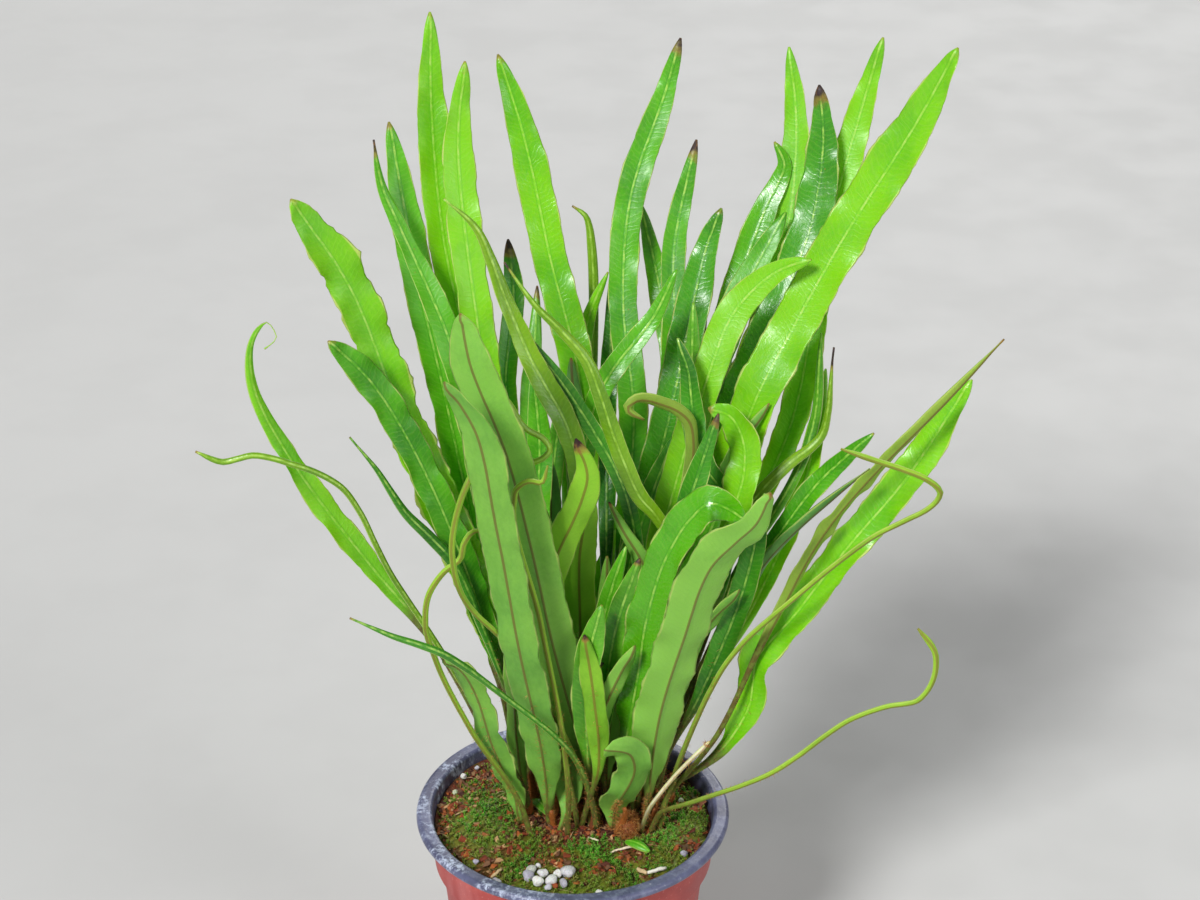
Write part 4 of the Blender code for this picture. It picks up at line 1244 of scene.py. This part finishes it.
def fitted_spine(small, known, rng):
    """The course of a small frond, moved by as little as clears the fronds that stand already."""
    tree = standing_bands(known)
    best, fewest = None, None
    for number in range(FIT_TRIES):
        size = 9 * MM * math.sqrt(number / FIT_TRIES)
        shift = rng.normal(0, 1, 3) * (size, size, size / 2)
        bend = rng.normal(0, 1, 3) * (size, size, 0)
        spine = small_spine(small, shift, bend)
        points, faces = band(spine, 0.0)
        meets = len(tree.overlap(BVHTree.FromPolygons(points.tolist(), faces.tolist())))
        if best is None or meets < fewest:
            best, fewest = spine, meets
        if meets == 0:
            break
    return best


def make_small_fronds():
    for number, small in enumerate((*SMALL_FRONDS, *inner_fronds())):
        rng = np.random.default_rng(SEED + 320 + number)
        spine = fitted_spine(small, list(spines.values()), rng)
        name = f"frond_{small.name}_leaf"
        spines[name] = spine
        style = frond_style(name, rng)._replace(dry=small.dry, tint=small.tint)
        add_piece(name, frond_mesh(name, spine, style, rng), leaf_materials[small.slot])


# ---------------------------------------------------------------- moss

SHOOT_LEAVES = 9


def moss_pad_mesh(node):
    """The ground of a moss cushion: its CAD body, finer and lumpier."""
    bm = welded_bm(node)
    bmesh.ops.subdivide_edges(bm, edges=bm.edges, cuts=2, use_grid_fill=True)
    floor_height = SOIL_TOP - 1.5 * MM
    for vert in bm.verts:
        x, y, z = vert.co
        rise = max(0.0, z - floor_height)
        vert.co.z -= min(rise, 1.5 * MM) * (0.35 + 0.45 * lumps(x, y, 0.006) + 0.3 * lumps(x, y, 0.0025))
    return taken(bm)


def moss_places(node, spacing, rng):
    """Places on top of a cushion, with the way its surface faces."""
    mesh = frame["nodes"][node].data
    places = []
    ways = []
    for polygon in mesh.polygons:
        if polygon.normal.z < 0.15:
            continue
        corners = [np.array(mesh.vertices[index].co[:]) for index in polygon.vertices]
        wanted = polygon.area / spacing ** 2
        number = int(wanted) + int(rng.random() < wanted % 1)
        for _ in range(number):
            shares = rng.dirichlet(np.ones(len(corners)))
            places.append(sum(share * corner for share, corner in zip(shares, corners)))
            ways.append(polygon.normal[:])
    return np.array(places), np.array(ways)


def add_shoots(heap, places, ways, rng, colouring):
    """Moss shoots: whorls of small pointed leaves up a short stem."""
    keep = np.array([rng.random() > 0.92 * bareness(x, y) for x, y, _ in places])
    places, ways = places[keep], np.asarray(ways)[keep]
    ways = unit(ways + rng.normal(0, 0.3, (len(places), 3)) + (0, 0, 0.4))
    sizes = rng.uniform(0.75, 1.35, len(places))
    heights = rng.uniform(1.0, 2.3, len(places)) * MM * sizes
    turns = rng.uniform(0, 6.28, len(places))
    tints = np.array([colouring(x, y, rng) for x, y, _ in places])
    across = unit(np.cross(ways, (0.3, 0.8, 0.52)))
    other = np.cross(ways, across)
    for leaf in range(SHOOT_LEAVES):
        share = leaf / (SHOOT_LEAVES - 1)
        angle = turns + leaf * 2.4
        out = across * np.cos(angle)[:, None] + other * np.sin(angle)[:, None]
        way = out * (1.3 - 0.9 * share) + ways * (0.3 + 0.8 * share)
        base = places + ways * (heights * (share * 0.9 - 0.25))[:, None]
        length = rng.uniform(1.1, 1.8, len(places)) * MM * (1.1 - 0.4 * share) * sizes
        points, faces = spikes(base, way, length, 0.28 * MM * sizes, 0.45, rng)
        tint = tints.copy()
        tint[:, 0] = np.clip(tint[:, 0] + 0.1 * (share - 0.5) + rng.normal(0, 0.05, len(places)), 0, 1)
        # Painted shade: the lower leaves of each shoot are darker
        tint[:, 1] = tint[:, 1] + 0.55 * (1 - share)
        tint = np.repeat(tint, 4, axis=0)
        tint[3::4, 2] = 1.0
        heap.add(points, faces, tint)


# Where the moss is freshest, as x, y and radius in millimetres
FRESH_SPOTS = ((-34, 8, 13), (36, -1, 13), (8, -20, 9), (44, 20, 9), (-16, -24, 6), (30, -32, 6))


def moss_colouring(x, y, rng):
    """Tint and painted shade of one shoot: fresh green in patches, olive and brown between them."""
    patch = 0.5 + 0.9 * lumps(x + 0.013, y, 0.011)
    fresh = 0.0
    for middle_x, middle_y, reach in FRESH_SPOTS:
        away = ((x / MM - middle_x) ** 2 + (y / MM - middle_y) ** 2) / reach ** 2
        fresh = max(fresh, math.exp(-away))
    share = 0.22 + 0.36 * patch + 0.5 * fresh - 0.25 * bareness(x, y) + rng.normal(0, 0.13)
    if rng.random() < 0.1:
        share = rng.uniform(0.0, 0.25)
    return np.array((min(max(share, 0.0), 1.0), rng.uniform(0.0, 0.45) ** 1.5, 0.0))


def moss_material():
    """Brown, olive, yellow-green and fresh green shoots with pale tips."""
    colours = [srgb(132, 98, 46), srgb(138, 144, 44), srgb(122, 166, 34), srgb(90, 166, 22),
               srgb(66, 180, 24), srgb(118, 214, 54)]
    return tinted_material("moss", colours, 0.55, 500, 0.3, 0.1, srgb(206, 224, 120))


def make_moss():
    material = moss_material()
    for number, node in enumerate(MOSS_NODES):
        rng = np.random.default_rng(SEED + 500 + number)
        heap = Heap()
        points, faces = moss_pad_mesh(node)
        # Painted shade: the pad under the shoots is darkened
        tints = [(0.3 * (1 - bareness(x, y)), 0.55, 0) for x, y, _ in points]
        heap.add(points, faces, tints)
        places, ways = moss_places(node, 1.4 * MM, rng)
        places = places - (0, 0, 0.5 * MM)
        add_shoots(heap, places, ways, rng, moss_colouring)
        heap.piece(node + "_shoots", material, "moss", (node,))
    make_stray_moss(material)


def stray_ground(x, y):
    """Where single shoots stand on the mix itself: mostly in the joins between the cushions."""
    if cushion_height(x, y) is not None:
        return 0.0
    radius = math.hypot(x, y)
    crown = math.hypot((x - 0.008) / 0.036, (y - 0.012) / 0.028)
    if crown < 0.85:
        return 0.12
    return 0.3 if radius > 0.049 else 1.0


def make_stray_moss(material):
    """Shoots between the cushions, which close the joins between them."""
    rng = np.random.default_rng(SEED + 520)
    heap = Heap()
    spots = scattered(rng, 1100, stray_ground)
    places = np.array([(x, y, soil_height(x, y) + rng.uniform(0.2, 1.2) * MM) for x, y in spots])
    ways = np.tile((0.0, 0.0, 1.0), (len(places), 1))
    add_shoots(heap, places, ways, rng, moss_colouring)
    heap.piece("stray_moss", material, "moss")


# ---------------------------------------------------------------- rhizome and hairs


def make_rhizome():
    """The lumpy rhizome under its felt of orange-brown hairs."""
    rng = np.random.default_rng(SEED + 600)
    bm = welded_bm("rhizome")
    bmesh.ops.subdivide_edges(bm, edges=bm.edges, cuts=2, use_grid_fill=True, smooth=0.6)
    bm.normal_update()
    for vert in bm.verts:
        vert.co += vert.normal * 0.5 * MM * noise.noise(vert.co * 450)
    bm.normal_update()
    ways = np.array([vert.normal[:] for vert in bm.verts])
    places, faces = taken(bm)
    heap = Heap()
    heap.add(places, faces, (0.15, 0.3, 0))
    picks = rng.integers(len(places), size=1500)
    droop = np.array((0.0, -0.3, -0.25))
    hair_ways = ways[picks] + rng.normal(0, 0.5, (len(picks), 3)) + droop
    bases = places[picks] + rng.normal(0, 0.35 * MM, (len(picks), 3))
    add_hairs(heap, bases, hair_ways, (1.2, 2.8), 0.11 * MM, 0.6, 0.2, 0.3, rng)
    heap.piece("rhizome_felt", hair_material(), "rhizome", ("rhizome",))


def hair_material():
    colours = [srgb(124, 66, 32), srgb(182, 106, 46), srgb(214, 142, 66), srgb(236, 186, 112)]
    return tinted_material("hairs", colours, 0.6, 900, 0.3, 0.1)


# Fronds whose feet are wrapped in felt
FELTED_FRONDS = ("frond_folded_small", "frond_front_right", "frond_gloss_front", "frond_front_under",
                 "frond_low_under")


def make_stipe_hairs():
    """Short brown hairs on the stipes, thickest at the foot."""
    rng = np.random.default_rng(SEED + 620)
    heap = Heap()
    for node, spine in spines.items():
        felted = node in FELTED_FRONDS
        reach = 11 if felted else 40
        number = 700 if felted else 170
        rows = np.minimum((rng.random(number) ** 1.7 * reach).astype(int), len(spine.along) - 2)
        angles = rng.uniform(0, 6.28, number)
        side = spine.side[rows] * np.cos(angles)[:, None]
        up = spine.up[rows] * np.sin(angles)[:, None]
        half = np.minimum(spine.half[rows], 1.2 * MM)[:, None]
        base = spine.centre[rows] + (side + up) * half * 0.75
        ways = side + up + rng.normal(0, 0.35, (number, 3)) - (0, 0, 0.1)
        add_hairs(heap, base, ways, (0.9, 2.2), 0.1 * MM, 0.7, 0.3, 0.2, rng)
    heap.piece("stipe_hairs", hair_material(), "rhizome")


OLD_STIPES = 26
STUB_HAIRS = 70


def make_stubs():
    """Old stipes, broken off short and felted with hairs, among the feet of the fronds."""
    rng = np.random.default_rng(SEED + 640)
    heap = Heap()
    for number in range(OLD_STIPES):
        angle = 2.4 * number
        out = math.sqrt((number + 0.5) / OLD_STIPES)
        x = 0.010 + 0.030 * out * math.cos(angle)
        y = 0.012 + 0.021 * out * math.sin(angle)
        height = rng.uniform(5, 17) * MM
        thick = rng.uniform(0.9, 1.5) * MM
        lean = np.array((x * 5 + rng.normal(0, 0.12), (y - 0.01) * 4 + rng.normal(0, 0.12) - 0.15, 1.0))
        start = np.array((x, y, soil_height(x, y) - 0.8 * MM))
        steps = np.linspace(0, 1, 9)[:, None]
        bow = rng.normal(0, 0.08, 3) * height
        course = start + lean * height * steps + bow * np.sin(math.pi * steps)
        radii = thick * (1.25 - 0.5 * steps[:, 0] + 0.08 * np.sin(9 * steps[:, 0] + number))
        radii[-1] *= 0.6
        heap.add(*tube(course, radii, 9), (rng.uniform(0, 0.55), rng.uniform(0.1, 0.4), 0))
        rows = rng.integers(0, 9, STUB_HAIRS)
        ways = rng.normal(0, 1, (STUB_HAIRS, 3)) * (1, 1, 0.35)
        base = course[rows] + unit(ways) * radii[rows][:, None] * 0.7
        add_hairs(heap, base, ways, (0.8, 2.0), 0.09 * MM, 0.7, 0.2, 0.3, rng)
    heap.piece("old_stipes", hair_material(), "rhizome")


# Pale sticks, from and to as x and y in millimetres, and their half thickness
STICKS = (((14.5, -22), (24, -21), 0.5), ((24, -33), (28, -35.5), 0.9), ((28, -35.5), (35, -33), 0.8),
          ((6, -12), (10, -14.5), 0.4), ((-30, -38), (-26, -33), 0.6), ((-18, 12), (-12, 6), 0.8))

# Courses of loose small leaves, as x, y and height above the ground, and their widths
LOOSE_LEAVES = (
    (((20, -18, 2.4), (24, -21, 3.0), (29, -25, 2.2)), 4.2),
    (((-16, 12, 2.0), (-13, 7, 4.0), (-8, 0, 2.6)), 4.5),
    (((-1, 12, 1.0), (0, 12, 9), (3, 11, 16)), 5),
)


def make_sticks(rng):
    heap = Heap()
    for start, stop, thick in STICKS:
        share = np.linspace(0, 1, 8)[:, None]
        flat = (np.array(start) * (1 - share) + np.array(stop) * share) * MM
        flat = flat + rng.normal(0, 0.12 * MM, flat.shape)
        heights = [ground_height(x, y) + 1.9 * MM for x, y in flat]
        level = np.linspace(heights[0], heights[-1], len(heights))
        course = np.column_stack((flat, np.maximum(level, heights)))
        radii = thick * MM * (0.75 + 0.25 * np.sin(math.pi * share[:, 0]) + rng.normal(0, 0.05, 8))
        heap.add(*tube(course, radii, 8), (rng.uniform(0, 1), 0.0, 0))
    colours = [srgb(238, 234, 222), srgb(214, 186, 140), srgb(150, 112, 84)]
    heap.piece("pale_sticks", tinted_material("stick", colours, 0.6, 900), "potting_mix")


def make_loose_leaves(rng):
    for number, (course, width) in enumerate(LOOSE_LEAVES):
        knots = np.array([(x * MM, y * MM, ground_height(x * MM, y * MM) + lift * MM)
                          for x, y, lift in course])
        travelled = travel(knots)
        wanted = np.linspace(0.0, travelled[-1], 16)
        reach = wanted / wanted[-1]
        half = np.maximum(width / 2 * MM * np.sin(math.pi * (0.06 + 0.9 * reach)) ** 0.7, 0.3 * MM)
        spine = facing_spine(through(travelled, knots, wanted), np.array((0.1, -0.35, 1.0)), half, wanted)
        name = f"fallen_leaf_{number + 1}"
        style = frond_style(name, rng)._replace(wave=0.4, dry=0.0, tint=-0.2)
        add_piece(name, frond_mesh(name, spine, style, rng), leaf_materials["leaf_mid"])


def make_litter():
    """Pale sticks, a fallen leaf and two scales of leaf, on the moss and between the stipes."""
    rng = np.random.default_rng(SEED + 660)
    make_sticks(rng)
    make_loose_leaves(rng)


make_small_fronds()
add_piece("pot_shell", pot_mesh(), [terracotta_material(), grey_material()], ("pot",))
add_piece("potting_mix_body", soil_mesh(), [soil_material()], ("potting_mix",))
make_chips()
make_fibres()
make_pumice()
make_moss()
make_rhizome()
make_stipe_hairs()
make_stubs()
make_litter()

# ---------------------------------------------------------------- camera, floor and light

CAMERA_PLACE = (0.0104, -0.8182, 0.6804)
CAMERA_PITCH = 27.3
FOCAL_SHARE = 2593.0 / 1200.0
SENSOR = 36.0
FLOOR_REACH = 6.0

# Name, place, spread in degrees and strength of each light
LIGHTS = (("key", (-0.7, -1.1, 1.3), 14, 3.2), ("fill", (1.1, -0.9, 0.7), 30, 0.8),
          ("back", (0.3, 1.3, 1.0), 30, 0.9))
AIM = Vector((0, 0, 0.22))
WORLD_STRENGTH = 0.27


def add_camera():
    camera = bpy.data.cameras.new("camera")
    camera.sensor_width = SENSOR
    camera.lens = SENSOR * FOCAL_SHARE
    holder = bpy.data.objects.new("camera", camera)
    holder.location = CAMERA_PLACE
    holder.rotation_euler = (math.radians(90 - CAMERA_PITCH), 0.0, 0.0)
    bpy.context.scene.collection.objects.link(holder)
    bpy.context.scene.camera = holder


def add_floor():
    mesh = bpy.data.meshes.new("floor")
    corners = [(-FLOOR_REACH, -FLOOR_REACH, 0), (FLOOR_REACH, -FLOOR_REACH, 0),
               (FLOOR_REACH, FLOOR_REACH, 0), (-FLOOR_REACH, FLOOR_REACH, 0)]
    mesh.from_pydata(corners, [], [(0, 1, 2, 3)])
    floor = bpy.data.objects.new("floor", mesh)
    bpy.context.scene.collection.objects.link(floor)
    mesh.materials.append(plain_noise_material("floor", srgb(198, 198, 196), srgb(194, 194, 192),
                                               3.0, 0.7, 0.0))


def add_light(name, place, spread, power):
    """Even light from the side of a place towards the plant, soft by its spread in degrees."""
    light = bpy.data.lights.new(name, "SUN")
    light.angle = math.radians(spread)
    light.energy = power
    holder = bpy.data.objects.new(name, light)
    holder.location = place
    holder.rotation_euler = (AIM - Vector(place)).to_track_quat("-Z", "Y").to_euler()
    bpy.context.scene.collection.objects.link(holder)


def add_world():
    world = bpy.data.worlds.new("studio")
    world.use_nodes = True
    background = world.node_tree.nodes["Background"]
    background.inputs["Color"].default_value = (0.97, 0.98, 1.0, 1.0)
    background.inputs["Strength"].default_value = WORLD_STRENGTH
    bpy.context.scene.world = world


add_camera()
add_floor()
add_world()
for light_row in LIGHTS:
    add_light(*light_row)
bpy.context.scene.view_settings.view_transform = "Standard"
